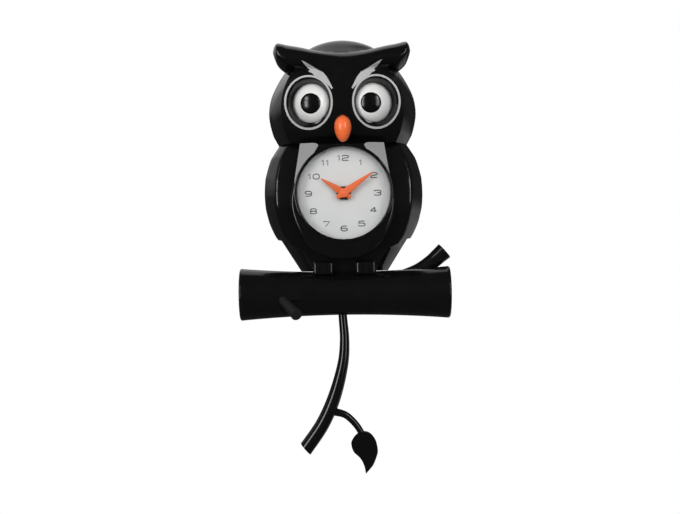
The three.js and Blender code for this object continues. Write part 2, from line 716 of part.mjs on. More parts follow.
// Toothed wheels, with straight-flanked teeth and play between them
function gear(teeth, module, turn, front, back) {
  const pitch = module * teeth / 2;
  const step = 2 * Math.PI / teeth;
  const corners = [
    [pitch - DEDENDUM * module, -TOOTH_ROOT], [pitch + ADDENDUM * module, -TOOTH_TIP],
    [pitch + ADDENDUM * module, TOOTH_TIP], [pitch - DEDENDUM * module, TOOTH_ROOT],
  ];
  const outline = [];
  for (let tooth = 0; tooth < teeth; tooth += 1) {
    for (const [radius, share] of corners) {
      const angle = (tooth + turn + share) * step;
      outline.push([radius * Math.cos(angle), radius * Math.sin(angle)]);
    }
  }
  return plate(shapeOf(outline), front, back);
}

const HOUR_WHEEL_FRONT = PLATE_BACK + WHEEL_GAP;
const HOUR_WHEEL_BACK = HOUR_WHEEL_FRONT + WHEEL_THICK;
const MINUTE_WHEEL_FRONT = HOUR_WHEEL_BACK + WHEEL_GAP;
const MINUTE_WHEEL_BACK = MINUTE_WHEEL_FRONT + WHEEL_THICK;
const PINION_LAP = (PINION_THICK - WHEEL_THICK) / 2;
const SET_FRONT = MINUTE_WHEEL_FRONT - PINION_LAP;
const SET_BACK = MINUTE_WHEEL_BACK + PINION_LAP;
const CASE_INSIDE = MOVEMENT_BACK - CASE_WALL;
const HOUR_BACK = STEM_FRONT - HAND_SPACE;
const HOUR_FRONT = HOUR_BACK - HAND_THICK - HAND_RIDGE;
const MINUTE_BACK = HOUR_FRONT - HAND_SPACE;
const MINUTE_FRONT = MINUTE_BACK - HAND_THICK - HAND_RIDGE;
const PIVOT_END = CASE_INSIDE + CASE_WALL / 2;

function bored(solid, radius) {
  return solid.subtract(pin(radius, 'y', 2 * BELLY_FRONT, 0, [0, 0, 0], ROUND_SIDES));
}

function cannonPinion() {
  const pinion = gear(CANNON_TEETH, MODULE, 0, SET_FRONT, SET_BACK);
  const arbor = pin(ARBOR_RADIUS, 'y', MINUTE_FRONT, MINUTE_WHEEL_BACK, [0, 0, 0]);
  return joined([pinion, arbor, pin(PIVOT_RADIUS, 'y', MINUTE_WHEEL_BACK, PIVOT_END, [0, 0, 0])]);
}

function hourWheel() {
  const wheel = gear(HOUR_TEETH, HOUR_MODULE, HALF_TOOTH, HOUR_WHEEL_FRONT, HOUR_WHEEL_BACK);
  const pipe = pin(PIPE_RADIUS, 'y', HOUR_FRONT, HOUR_WHEEL_BACK, [0, 0, 0]);
  return bored(wheel.add(pipe), ARBOR_RADIUS + RUNNING_FIT);
}

function minuteWheel() {
  const wheel = gear(MINUTE_TEETH, MODULE, HALF_TOOTH, MINUTE_WHEEL_FRONT, MINUTE_WHEEL_BACK);
  const front = HOUR_WHEEL_FRONT - PINION_LAP;
  const pinion = gear(PINION_TEETH, HOUR_MODULE, 0, front, MINUTE_WHEEL_FRONT + PINION_LAP);
  return bored(wheel.add(pinion), STUD_RADIUS + RUNNING_FIT);
}

const KNOB_FRONT = MOVEMENT_BACK + GAP;
const KNOB_BACK = KNOB_FRONT + KNOB_THICK;

function setArbor() {
  const pinion = gear(CANNON_TEETH, MODULE, 0, SET_FRONT, SET_BACK);
  return pinion.add(pin(SET_ARBOR_RADIUS, 'y', PLATE_BACK + GAP, KNOB_BACK - GAP, [0, 0, 0]));
}

function setKnob() {
  const outline = [];
  for (let i = 0; i < 2 * KNOB_RIBS; i += 1) {
    const radius = KNOB_RADIUS - (i % 2) * KNOB_RIB_DEPTH;
    const angle = Math.PI * i / KNOB_RIBS;
    outline.push([radius * Math.cos(angle), radius * Math.sin(angle)]);
  }
  return bored(plate(shapeOf(outline), KNOB_FRONT, KNOB_BACK), SET_ARBOR_RADIUS + RUNNING_FIT);
}

// A hand pointing up: a tapered dart with a ridge, on a round boss
function hand(length, back, bore) {
  const ring = (half, ridge, height) => [
    [-half, back], [-half, back - HAND_THICK], [0, back - HAND_THICK - ridge],
    [half, back - HAND_THICK], [half, back],
  ].map(([x, y]) => new THREE.Vector3(x, y, height));
  const dart = loft([
    ring(HAND_ROOT * HAND_TAIL_SHARE, HAND_RIDGE / 2, -HAND_TAIL), ring(HAND_ROOT, HAND_RIDGE, 0),
    ring(HAND_TIP, HAND_RIDGE / 4, length),
  ]);
  const disc = pin(HAND_BOSS, 'y', back - HAND_THICK - HAND_RIDGE, back, [0, 0, 0], ROUND_SIDES);
  return bored(dart.add(disc), bore);
}

// Movement case, with a battery tray that opens to the back
const BATTERY_Z = -CASE_HALF + CASE_WALL + GAP + BATTERY_RADIUS;
const BATTERY_Y = PLATE_BACK + GAP + BATTERY_RADIUS;
const BATTERY_START = -CASE_HALF + CASE_WALL + 2 * GAP + CONTACT_THICK;
const BATTERY_END = BATTERY_START + 2 * BATTERY_HALF + BATTERY_NUB_LENGTH;
const TRAY_TOP = BATTERY_Z + BATTERY_RADIUS + GAP;

function movementCase() {
  const inside = CASE_HALF - CASE_WALL;
  const across = [-CASE_HALF, CASE_HALF];
  const block = box(across, [CASE_FRONT, MOVEMENT_BACK], across);
  const hollow = box([-inside, inside], [CASE_FRONT - OVERRUN, CASE_INSIDE], [-inside, inside]);
  const tray = box([-inside, inside], [CASE_FRONT - OVERRUN, MOVEMENT_BACK + OVERRUN], [-inside, TRAY_TOP]);
  const shelf = box(across, [CASE_FRONT, MOVEMENT_BACK], [TRAY_TOP, TRAY_TOP + TRAY_WALL]);
  return block.subtract(hollow).add(shelf).subtract(tray)
    .subtract(pin(PIVOT_RADIUS + RUNNING_FIT, 'y', CASE_INSIDE - OVERRUN, PIVOT_END + GAP, [0, 0, 0]))
    .subtract(pin(SET_ARBOR_RADIUS + RUNNING_FIT, 'y', CASE_INSIDE - OVERRUN, OVERRUN, [
      2 * CENTRES, 0, 0], ROUND_SIDES));
}

function movementFront() {
  const across = [-CASE_HALF, CASE_HALF];
  const stem = pin(STEM_RADIUS, 'y', STEM_FRONT, PLATE_BACK, [0, 0, 0], ROUND_SIDES);
  const face = box(across, [PLATE_FRONT, PLATE_BACK], across).add(stem);
  const studHole = pin(STUD_RADIUS + RUNNING_FIT, 'y', PLATE_FRONT, OVERRUN, [CENTRES, 0, 0]);
  return bored(face, PIPE_RADIUS + RUNNING_FIT).subtract(studHole);
}

function ringAbout(outer, inner, front, back, sides = ROUND_SIDES) {
  return turned([[inner, front], [outer, front], [outer, back], [inner, back], [inner, front]],
    'y', [0, 0, 0], sides);
}

function dialPlate() {
  const disc = pin(DIAL_WELL - GAP, 'y', DIAL_FRONT, DIAL_BACK, [0, 0, 0], FINE_SIDES);
  return bored(disc, STEM_RADIUS + GAP);
}

const LENS_BACK = BELLY_FRONT + LENS_SEAT + LENS_THICK;

function dialBezel() {
  const seat = BELLY_FRONT - GAP;
  const front = seat - BEZEL_FLANGE;
  const inner = BEZEL_INNER - BEZEL_LEDGE;
  const barrel = DIAL_WELL - GAP;
  return turned([
    [BEZEL_INNER, front], [barrel, front], [barrel + BEZEL_FLANGE, seat], [barrel, seat],
    [barrel, DIAL_FRONT - GAP], [inner, DIAL_FRONT - GAP], [inner, LENS_BACK + GAP],
    [BEZEL_INNER, LENS_BACK + GAP], [BEZEL_INNER, front],
  ], 'y', [0, 0, 0], FINE_SIDES);
}

function dialLens() {
  const radius = BEZEL_INNER - GAP;
  const dome = (back) => Array.from({ length: LENS_STEPS + 1 }, (_, i) => {
    const share = i / LENS_STEPS;
    return [radius * share, back - LENS_DOME * (1 - share ** 2)];
  });
  return turned([...dome(LENS_BACK - LENS_THICK), ...dome(LENS_BACK).reverse()], 'y', [0, 0, 0], FINE_SIDES);
}

// Eyes, built about their own centres and looking along -Y
const PLATE_NEAR = SEAT_RADIUS + GAP;
const PLATE_FAR = PLATE_NEAR + EYE_PLATE;
const LINK_BOTTOM = CRANK_THICK / 2 + GAP;
const LINK_TOP = LINK_BOTTOM + LINK_THICK;

function eyeball(glance) {
  const far = 2 * EYE_RADIUS;
  const behind = box([-far, far], [EYE_REAR, far], [-far, far]);
  const bore = new THREE.CylinderGeometry(PUPIL_RADIUS + GAP / 2, PUPIL_RADIUS + GAP / 2, far, ROUND_SIDES);
  bore.translate(0, -EYE_RADIUS - PUPIL_RADIUS, 0).rotateZ(glance);
  const cap = ball(EYE_RADIUS, [0, 0, 0], EYE_SIDES)
    .subtract(ball(EYE_RADIUS - EYE_WALL, [0, 0, 0], EYE_SIDES))
    .subtract(behind).subtract(toSolid(bore));
  const collarBottom = GAP - PLATE_NEAR;
  const half = CRANK_WIDTH / 2;
  return joined([
    cap,
    pin(AXLE_RADIUS, 'z', -PLATE_FAR, PLATE_FAR, [0, 0, 0]),
    pin(AXLE_COLLAR, 'z', collarBottom, collarBottom + COLLAR_HEIGHT, [0, 0, 0]),
    box([-half, half], [0, CRANK + half], [-CRANK_THICK / 2, CRANK_THICK / 2]),
    pin(CRANK_PIN, 'z', 0, LINK_TOP + CRANK_PIN, [0, CRANK, 0]),
  ]);
}

function pupil() {
  const reach = (radius, r) => -Math.sqrt(radius ** 2 - r ** 2);
  const inner = reach(EYE_RADIUS - EYE_WALL, PUPIL_RADIUS + PUPIL_LIP) + PUPIL_LIP + GAP;
  const half = PUPIL_RADIUS / 2;
  return turned([
    [0, -EYE_RADIUS - PUPIL_RISE], [half, reach(EYE_RADIUS + PUPIL_RISE, half)],
    [PUPIL_RADIUS, reach(EYE_RADIUS, PUPIL_RADIUS)], [PUPIL_RADIUS, inner],
    [PUPIL_RADIUS + PUPIL_LIP, inner], [PUPIL_RADIUS + PUPIL_LIP, inner + PUPIL_LIP], [0, inner + PUPIL_LIP],
  ], 'y', [0, 0, 0], ROUND_SIDES);
}

function eyePlate(low, high) {
  const far = 2 * HEAD_HALF_WIDTH;
  const slab = box([-far, far], [EYE_Y - AXLE_RADIUS - PLATE_MARGIN, SPLIT_Y - GAP], [low, high]);
  const sheet = halfForm(HEAD_PROFILE, HEAD, FRONT, WALL + 2 * GAP).intersect(slab);
  return Object.values(SIDES).reduce((whole, side) => whole.subtract(
    pin(AXLE_RADIUS + RUNNING_FIT, 'z', low, high, [side * EYE_X, EYE_Y, 0], ROUND_SIDES)), sheet);
}

// Eye link: a bar on the two crank pins, with a slotted tab for the pendulum's drive pin
function eyeLink() {
  const y = EYE_Y + CRANK;
  const half = EYE_X + CRANK_WIDTH;
  const bar = box([-half, half], [y - LINK_DEPTH / 2, y + LINK_DEPTH / 2], [
    EYE_Z + LINK_BOTTOM, EYE_Z + LINK_TOP]);
  const tab = box([-LINK_TAB / 2, LINK_TAB / 2], [y - LINK_TAB_THICK / 2, y + LINK_TAB_THICK / 2], [
    EYE_Z - LINK_TAB_DROP, EYE_Z + LINK_TOP]);
  const slotHalf = DRIVE_PIN + SLIDING_FIT;
  const rise = DRIVE_PIN + PIN_PLAY;
  let link = bar.add(tab).subtract(box([-slotHalf, slotHalf], [y - OVERRUN, y + OVERRUN], [
    EYE_Z - rise, EYE_Z + rise]));
  for (const side of Object.values(SIDES)) {
    const across = [-CRANK_PIN - SLIDING_FIT, CRANK_PIN + SLIDING_FIT].map((x) => side * EYE_X + x);
    const deep = [y - CRANK_PIN - LINK_TRAVEL_PLAY, y + CRANK_PIN + GAP];
    link = link.subtract(box(across, deep, [EYE_Z, EYE_Z + LINK_TOP + OVERRUN]));
  }
  return link;
}

// Pendulum
const HANGER_HUB = PIVOT_PIN + WALL;
const PIN_INSIDE = DRIVE_BACK - CASE_WALL - GAP;
const CLIP_FRONT = HANGER_BACK + GAP;
const PIN_END = CLIP_FRONT + 2 * CLIP_THICK;
const HANGER_BOTTOM = HOOK_Z - HANGER_HALF;
const HANGER_TOP = EYE_Z + HANGER_TOP_HALF;

function pendulumHanger() {
  const arm = plate(shapeOf([
    [-HANGER_HALF, HANGER_BOTTOM], [HANGER_HALF, HANGER_BOTTOM], [HANGER_HALF, PIVOT_Z],
    [HANGER_TOP_HALF, HANGER_TOP], [-HANGER_TOP_HALF, HANGER_TOP], [-HANGER_HALF, PIVOT_Z],
  ]), HANGER_FRONT, HANGER_BACK);
  const hub = pin(HANGER_HUB, 'y', DRIVE_BACK + GAP, HANGER_BACK, [0, 0, PIVOT_Z]);
  const drive = pin(DRIVE_PIN, 'y', EYE_Y + CRANK - LINK_TAB_THICK, HANGER_BACK, [0, 0, EYE_Z]);
  const through = [DRIVE_BACK, HANGER_BACK + OVERRUN];
  return joined([arm, hub, drive])
    .subtract(pin(PIVOT_PIN + RUNNING_FIT, 'y', ...through, [0, 0, PIVOT_Z], ROUND_SIDES))
    .subtract(pin(ROD_RADIUS + GAP, 'y', ...through, [0, 0, HOOK_Z]));
}

function pivotPin() {
  return turned([
    [0, PIN_INSIDE - PIN_HEAD_THICK], [PIN_HEAD, PIN_INSIDE - PIN_HEAD_THICK], [PIN_HEAD, PIN_INSIDE],
    [PIVOT_PIN, PIN_INSIDE], [PIVOT_PIN, PIN_END], [0, PIN_END],
  ], 'y', [0, 0, 0]);
}

const rodElbow = new THREE.Vector3(0, ROD_Y, HOOK_Z - HOOK_BEND);
const rodFoot = new THREE.Vector3(ROD_END[0], ROD_Y, ROD_END[1]);

function pendulumRod() {
  const corner = Math.SQRT1_2 * HOOK_BEND;
  return evenLimb([
    new THREE.Vector3(0, HANGER_FRONT - HOOK_REACH, HOOK_Z),
    new THREE.Vector3(0, ROD_Y - HOOK_BEND, HOOK_Z),
    new THREE.Vector3(0, ROD_Y - HOOK_BEND + corner, HOOK_Z - HOOK_BEND + corner),
    rodElbow, rodFoot,
  ], ROD_RADIUS, TO_RIGHT);
}

const branchCurve = new THREE.CatmullRomCurve3(BRANCH_PATH.map((row) => new THREE.Vector3(...row)));
const branchRows = branchCurve.getSpacedPoints(BRANCH_STEPS);

function branchForm(rows, grow, sides) {
  const centres = rows.map(({ x, y }) => new THREE.Vector3(x, ROD_Y, y));
  return limb(centres, rows.map(({ z }) => z + grow), TO_WALL, sides);
}

// The branch is hollow below the rod's bore, so that it doesn't outweigh its leaf.
function pendulumBranch() {
  const rise = BRANCH_BORE_DEPTH / rodFoot.distanceTo(rodElbow);
  const mouth = rodFoot.clone().lerp(rodElbow, 2 * rise);
  const bottom = rodFoot.clone().lerp(rodElbow, -GAP / rodFoot.distanceTo(rodElbow));
  return branchForm(branchRows, 0, BRANCH_SIDES)
    .subtract(branchForm(branchRows.slice(1, -1), -BRANCH_WALL, SMALL_SIDES))
    .subtract(evenLimb([bottom, mouth], ROD_RADIUS + RUNNING_FIT, TO_RIGHT));
}

function pendulumLeaf() {
  const curve = new THREE.CatmullRomCurve3(LEAF_PROFILE.map((row) => new THREE.Vector3(...row)));
  const widest = Math.max(...LEAF_PROFILE.map(([left, right]) => right - left));
  const blade = loft(curve.getPoints(LEAF_STEPS).map(({ x: left, y: right, z }) => {
    const thick = LEAF_THICK * Math.sqrt(Math.max(right - left, 0) / widest);
    return Array.from({ length: BRANCH_SIDES }, (_, i) => {
      const angle = 2 * Math.PI * i / BRANCH_SIDES;
      const x = (left + right + (right - left) * Math.cos(angle)) / 2;
      return new THREE.Vector3(x, ROD_Y + thick * Math.sin(angle) / 2, z);
    });
  }));
  const stem = new THREE.CatmullRomCurve3(STEM_PATH.map(([x, z]) => new THREE.Vector3(x, ROD_Y, z)));
  return evenLimb(stem.getPoints(LEAF_STEM_STEPS), LEAF_STEM, TO_WALL).add(blade)
    .subtract(branchForm(branchRows, GAP, BRANCH_SIDES));
}

// Coils, battery and drive case
function spool(coil, axis, at) {
  const flange = coil.half - COIL_FLANGE;
  const wire = coil.radius - COIL_FLANGE / 2;
  return turned([
    [0, -coil.half], [coil.radius, -coil.half], [coil.radius, -flange], [wire, -flange],
    [wire, flange], [coil.radius, flange], [coil.radius, coil.half], [0, coil.half],
  ], axis, at);
}

function driveCase() {
  const inside = DRIVE_HALF - CASE_WALL;
  const front = MOVEMENT_BACK + GAP;
  const block = box([-DRIVE_HALF, DRIVE_HALF], [front, DRIVE_BACK], [DRIVE_BOTTOM, DRIVE_TOP]);
  const hollow = box([-inside, inside], [front - OVERRUN, DRIVE_BACK - CASE_WALL], [
    DRIVE_BOTTOM + CASE_WALL, DRIVE_TOP - CASE_WALL]);
  return block.subtract(hollow).subtract(
    pin(PIVOT_PIN + SCREW_FIT, 'y', front, DRIVE_BACK + OVERRUN, [0, 0, PIVOT_Z]));
}

function battery() {
  const end = BATTERY_END - BATTERY_NUB_LENGTH;
  return turned([
    [0, BATTERY_START], [BATTERY_RADIUS, BATTERY_START], [BATTERY_RADIUS, end], [BATTERY_NUB, end],
    [BATTERY_NUB, BATTERY_END], [0, BATTERY_END],
  ], 'x', [0, BATTERY_Y, BATTERY_Z], ROUND_SIDES);
}

function contact(start) {
  return box([start, start + CONTACT_THICK], [BATTERY_Y - CONTACT_HALF, BATTERY_Y + CONTACT_HALF], [
    BATTERY_Z - CONTACT_HALF, BATTERY_Z + CONTACT_HALF]);
}

function mountingNut() {
  const outline = Array.from({ length: NUT_SIDES }, (_, i) => {
    const angle = 2 * Math.PI * i / NUT_SIDES;
    return [NUT_RADIUS * Math.cos(angle), NUT_RADIUS * Math.sin(angle)];
  });
  return plate(shapeOf(outline), NUT_BACK - NUT_THICK, NUT_BACK)
    .subtract(pin(STEM_RADIUS + RUNNING_FIT, 'y', STEM_FRONT, 0, [0, 0, 0], ROUND_SIDES));
}

function minuteStud() {
  const end = MINUTE_WHEEL_BACK + GAP;
  return turned([
    [0, PLATE_FRONT + GAP], [STUD_RADIUS, PLATE_FRONT + GAP], [STUD_RADIUS, end], [2 * STUD_RADIUS, end],
    [2 * STUD_RADIUS, end + STUD_RADIUS], [0, end + STUD_RADIUS],
  ], 'y', [0, 0, 0]);
}

// Finishes: colour, roughness and metalness
const FINISH = {
  gloss_black: [0x0d0d0e, 0.18, 0],
  orange: [0xf07a3c, 0.3, 0],
  eye_white: [0xe2e2de, 0.3, 0],
  dial_white: [0xdedede, 0.6, 0],
  clear: [0xf4f8fa, 0.05, 0],
  black_plastic: [0x1b1b1c, 0.55, 0],
  grey_plastic: [0x55585c, 0.6, 0],
  steel: [0xb4b6b8, 0.35, 1],
  brass: [0xc2a050, 0.35, 1],
  board_green: [0x1f5a35, 0.6, 0],
  copper: [0xb4673a, 0.4, 1],
  rubber: [0x202020, 0.9, 0],
};

const clock = new THREE.Group();
clock.position.z = -HANG_HEIGHT;

function place(name, solid, finish, parent = clock) {
  const [color, roughness, metalness] = FINISH[finish];
  const material = new THREE.MeshStandardMaterial({ color, roughness, metalness });
  const mesh = new THREE.Mesh(toGeometry(solid), material);
  mesh.name = name;
  parent.add(mesh);
  return mesh;
}

function groupAt(x, y, z) {
  const group = new THREE.Group();
  group.position.set(x, y, z);
  clock.add(group);
  return group;
}

// Case, face and perch
place('rear_cover', rearCover(), 'black_plastic');
place('head_shell', headShell(), 'gloss_black');
place('body_shell', bodyShell(), 'gloss_black');
place('beak', beak(), 'orange');
place('log_front', logHalf(FRONT), 'gloss_black');
place('log_rear', logHalf(REAR), 'gloss_black');
place('twig', twig(), 'gloss_black');
place('peg', peg(), 'gloss_black');
for (const [name, side] of Object.entries(SIDES)) {
  place(`${name}_foot`, foot(), 'gloss_black', groupAt(side * FOOT_X, 0, 0));
}

// Screws
const caseScrew = screw(CASE_SEAT - CASE_SCREW_END);
CASE_SCREWS.forEach(([x, z], i) => {
  place(`case_screw_${i + 1}`, caseScrew, 'steel', groupAt(x, CASE_SEAT + GAP, z));
});
for (const [name, side] of Object.entries(SIDES)) {
  const logScrew = screw(LOG_SEAT - LOG_Y + SCREW_BITE);
  place(`log_screw_${name}`, logScrew, 'steel', groupAt(side * LOG_SCREW_X, LOG_SEAT + GAP, LOG_Z));
  const up = groupAt(side * PERCH_SCREW_X, PERCH_SCREW_Y, PERCH_SEAT - GAP);
  up.rotation.x = -Math.PI / 2;
  place(`perch_screw_${name}`, screw(PERCH_SCREW_END - PERCH_SEAT), 'steel', up);
}

// Dial and movement
place('dial_plate', dialPlate(), 'dial_white');
place('dial_bezel', dialBezel(), 'gloss_black');
place('dial_lens', dialLens(), 'clear');
const washer = ringAbout(WASHER_RADIUS, STEM_RADIUS + GAP, DIAL_BACK + GAP, PLATE_FRONT - GAP);
place('dial_washer', washer, 'rubber');
place('mounting_nut', mountingNut(), 'brass');
place('movement_front', movementFront(), 'black_plastic');
place('movement_case', movementCase(), 'black_plastic');
place('battery', battery(), 'steel');
place('battery_contact_negative', contact(BATTERY_START - GAP - CONTACT_THICK), 'steel');
place('battery_contact_positive', contact(BATTERY_END + GAP), 'steel');
const boardFront = CASE_INSIDE - GAP - BOARD_THICK;
place('circuit_board', box([-BOARD_HALF, BOARD_HALF], [boardFront, boardFront + BOARD_THICK], [
  BOARD_BOTTOM, BOARD_TOP]), 'board_green');
place('motor_coil', spool(MOTOR_COIL, 'x', [
  MOTOR_COIL.x, boardFront - GAP - MOTOR_COIL.radius, MOTOR_COIL.z]), 'copper');

// Hands and motion work
const longHand = hand(MINUTE_LENGTH, MINUTE_BACK, ARBOR_RADIUS + RUNNING_FIT);
place('minute_hand', longHand, 'orange').rotation.y = THREE.MathUtils.degToRad(MINUTE_ANGLE);
const shortHand = hand(HOUR_LENGTH, HOUR_BACK, PIPE_RADIUS + RUNNING_FIT);
place('hour_hand', shortHand, 'orange').rotation.y = THREE.MathUtils.degToRad(HOUR_ANGLE);
place('cannon_pinion', cannonPinion(), 'brass');
place('hour_wheel', hourWheel(), 'brass');
const minuteArbor = groupAt(CENTRES, 0, 0);
place('minute_wheel', minuteWheel(), 'brass', minuteArbor);
place('minute_wheel_stud', minuteStud(), 'steel', minuteArbor);
const setting = groupAt(2 * CENTRES, 0, 0);
place('set_arbor', setArbor(), 'brass', setting);
place('set_knob', setKnob(), 'black_plastic', setting);

// Eyes and their linkage
place('eye_plate_upper', eyePlate(EYE_Z + PLATE_NEAR, EYE_Z + PLATE_FAR), 'black_plastic');
place('eye_plate_lower', eyePlate(EYE_Z - PLATE_FAR, EYE_Z - PLATE_NEAR), 'black_plastic');
for (const [name, side] of Object.entries(SIDES)) {
  const socket = groupAt(side * EYE_X, EYE_Y, EYE_Z);
  const glance = THREE.MathUtils.degToRad(GLANCE[name]);
  place(`${name}_eyeball`, eyeball(glance), 'eye_white', socket);
  place(`${name}_pupil`, pupil(), 'gloss_black', socket).rotation.z = glance;
}
place('eye_link', eyeLink(), 'grey_plastic');

// Pendulum and its drive
place('drive_case', driveCase(), 'black_plastic');
const coilBack = DRIVE_BACK - CASE_WALL - GAP;
const driveCoil = ringAbout(DRIVE_COIL.outer, DRIVE_COIL.inner, coilBack - DRIVE_COIL.depth, coilBack);
place('drive_coil', driveCoil, 'copper', groupAt(0, 0, MAGNET_Z));
const pivot = groupAt(0, 0, PIVOT_Z);
place('pivot_pin', pivotPin(), 'steel', pivot);
const clipHole = PIVOT_PIN + RUNNING_FIT;
const clip = ringAbout(CLIP_RADIUS, clipHole, CLIP_FRONT, CLIP_FRONT + CLIP_THICK, SMALL_SIDES);
place('pivot_clip', clip, 'steel', pivot);
place('pendulum_hanger', pendulumHanger(), 'black_plastic');
place('hanger_magnet', pin(MAGNET_RADIUS, 'y', HANGER_FRONT - GAP - MAGNET_THICK, HANGER_FRONT - GAP, [
  0, 0, MAGNET_Z], ROUND_SIDES), 'steel');
place('pendulum_rod', pendulumRod(), 'steel');
place('pendulum_branch', pendulumBranch(), 'gloss_black');
place('pendulum_leaf', pendulumLeaf(), 'gloss_black');

export default clock;
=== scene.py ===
"""Owl pendulum wall clock: how it looks, in metres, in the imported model's frame."""
import math

import bmesh
import bpy
from mathutils import Matrix, Vector


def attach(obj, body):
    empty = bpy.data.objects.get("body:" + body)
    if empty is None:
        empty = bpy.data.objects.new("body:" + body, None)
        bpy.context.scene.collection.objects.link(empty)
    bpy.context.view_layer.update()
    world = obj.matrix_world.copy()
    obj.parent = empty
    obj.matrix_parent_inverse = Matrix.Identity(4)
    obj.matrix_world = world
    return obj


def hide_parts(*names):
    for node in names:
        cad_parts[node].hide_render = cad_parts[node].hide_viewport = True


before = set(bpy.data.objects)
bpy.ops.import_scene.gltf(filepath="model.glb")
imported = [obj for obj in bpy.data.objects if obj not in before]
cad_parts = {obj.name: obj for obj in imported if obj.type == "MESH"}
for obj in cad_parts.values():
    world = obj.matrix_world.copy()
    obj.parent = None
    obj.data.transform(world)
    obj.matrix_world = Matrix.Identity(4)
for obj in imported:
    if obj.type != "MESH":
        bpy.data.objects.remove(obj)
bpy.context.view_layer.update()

# ------------ measures, in mm from the hands' axis

MM_IN_M = 1000
HANDS_BELOW_ORIGIN = 98
SPLIT = -32                 # where the front shells end
REAR_START = -31.7          # where the rear cover starts
SHELL, BODY_SHELL = 2.4, 3.4    # walls of the head and rear cover, and of the body
PAST = 6                    # how far a hollow passes the open side of its shell
ROW_STEPS = 3               # steps between two rows of a shell
FINE = 64                   # sides of a round piece

# height, half-width and depth ahead of the split
HEAD_ROWS = [
    (39.63, 51.5, 24.3), (46, 55, 30.5), (50, 56.5, 33), (57, 58.2, 35.8), (64, 59.1, 37.5), (72, 58.5, 38.3),
    (80, 56.4, 38.7), (89, 52, 38.6), (96, 47.6, 36.8), (101, 43.8, 34.4), (106, 39.8, 31.3), (110.5, 35.6, 26.3),
    (114.5, 30.4, 21), (117.8, 25.2, 16.8), (120.4, 19.4, 12.8), (122.2, 13.6, 9), (123.4, 7.4, 5), (124.1, 1, 1),
]
BODY_ROWS = [
    (39.6, 51.2, 18), (33, 55.6, 20.2), (27.3, 58.8, 22), (15, 62.4, 25.3), (10, 63.1, 26.8), (4, 63.5, 28.3),
    (-3, 63.5, 29), (-11, 62.8, 28.1), (-17, 61.4, 26.3), (-23.2, 59.7, 24.3), (-31.6, 56, 21.7), (-36, 53.2, 20.3),
    (-42, 48, 18.4), (-50, 40, 16),
]
# across the front from the side to the middle, as shares of half-width and depth: a side, an edge, a flat face
HEAD_SIDE = [(1, 0), (0.985, 0.14), (0.952, 0.33), (0.905, 0.55), (0.858, 0.74), (0.812, 0.91)]
HEAD_FACE = [(0.812, 0.91), (0.79, 0.9155), (0.75, 0.926), (0.67, 0.944), (0.5, 0.97), (0.25, 0.99), (0, 1)]
BODY_SECTION = [
    (1, 0), (0.985, 0.14), (0.955, 0.33), (0.915, 0.55), (0.88, 0.74), (0.86, 0.838), (0.848, 0.876), (0.836, 0.898),
    (0.815, 0.914), (0.75, 0.933), (0.64, 0.953), (0.46, 0.975), (0.25, 0.99), (0, 1),
]
# along X: lower edge, upper edge and front of the brow
BROW_ROWS = [
    (0, 76, 111, -72), (10, 84, 111.4, -72), (22, 93, 112.9, -71.8), (33, 95.6, 115.5, -70.8),
    (43, 95.6, 117.4, -69.8), (47, 97.8, 118.4, -69.4), (49.8, 100.6, 118.9, -69), (51, 102.4, 118.8, -68),
    (52, 104.6, 118.2, -65), (53.3, 108, 116.6, -58.5), (54.3, 111.2, 113.6, -50),
]
EYE_X, EYE_Y, EYE_Z, EYE_R = 22, -52, 70.7, 17.5
GLANCE = {"left": -10.5, "right": 0.7}     # degrees that each pupil looks to the right
BELLY_OUTLINE = [(33, 39.5), (36.6, 17), (39.3, 5), (41, -8), (38, -22), (30, -37.5), (16, -49.5), (0, -52.5)]


def spot(x, y, z):
    """A place in millimetres from the hands' axis, in the frame's metres."""
    return Vector((x, y, z - HANDS_BELOW_ORIGIN)) / MM_IN_M


def turns(count):
    """The angles of this many even steps round a circle."""
    return [2 * math.pi * k / count for k in range(count)]


def through(rows, steps):
    """Rows of numbers joined by a smooth curve, with this many steps between each two."""
    out = []
    for i in range(len(rows) - 1):
        a, b = rows[max(i - 1, 0)], rows[i]
        c, d = rows[i + 1], rows[min(i + 2, len(rows) - 1)]
        for k in range(steps):
            t = k / steps
            out.append(tuple(
                q + 0.5 * t * (r - p + t * (2 * p - 5 * q + 4 * r - s + t * (3 * (q - r) + s - p)))
                for p, q, r, s in zip(a, b, c, d)))
    return out + [tuple(rows[-1])]


def between(rows, key):
    """The row at this first number, read off straight lines between the rows."""
    rows = sorted(rows)
    key = min(max(key, rows[0][0]), rows[-1][0])
    for low, high in zip(rows, rows[1:]):
        if key <= high[0]:
            t = (key - low[0]) / (high[0] - low[0])
            return tuple(a + (b - a) * t for a, b in zip(low, high))
    return rows[-1]


# ------------ modelling steps

WELD, CUT_EXACT = 0.000005, 0.000001      # metres within which corners merge, and a cut counts as on its plane


def pick(piece):
    bpy.ops.object.select_all(action="DESELECT")
    piece.select_set(True)
    bpy.context.view_layer.objects.active = piece


def edit(piece):
    pick(piece)
    bpy.ops.object.mode_set(mode="EDIT")
    bpy.ops.mesh.select_mode(type="VERT")
    bpy.ops.mesh.select_all(action="SELECT")


def leave_edit():
    bpy.ops.mesh.select_all(action="SELECT")
    bpy.ops.mesh.normals_make_consistent(inside=False)
    bpy.ops.object.mode_set(mode="OBJECT")


def start(name, add, **shape):
    """Adds a primitive with nothing else selected and gives it its name."""
    bpy.ops.object.select_all(action="DESELECT")
    add(**shape)
    piece = bpy.context.active_object
    piece.name = piece.data.name = name
    return piece


def twin(piece, name):
    """A copy of a piece, with a mesh of its own."""
    copy = piece.copy()
    copy.data = piece.data.copy()
    bpy.context.collection.objects.link(copy)
    copy.name = copy.data.name = name
    return copy


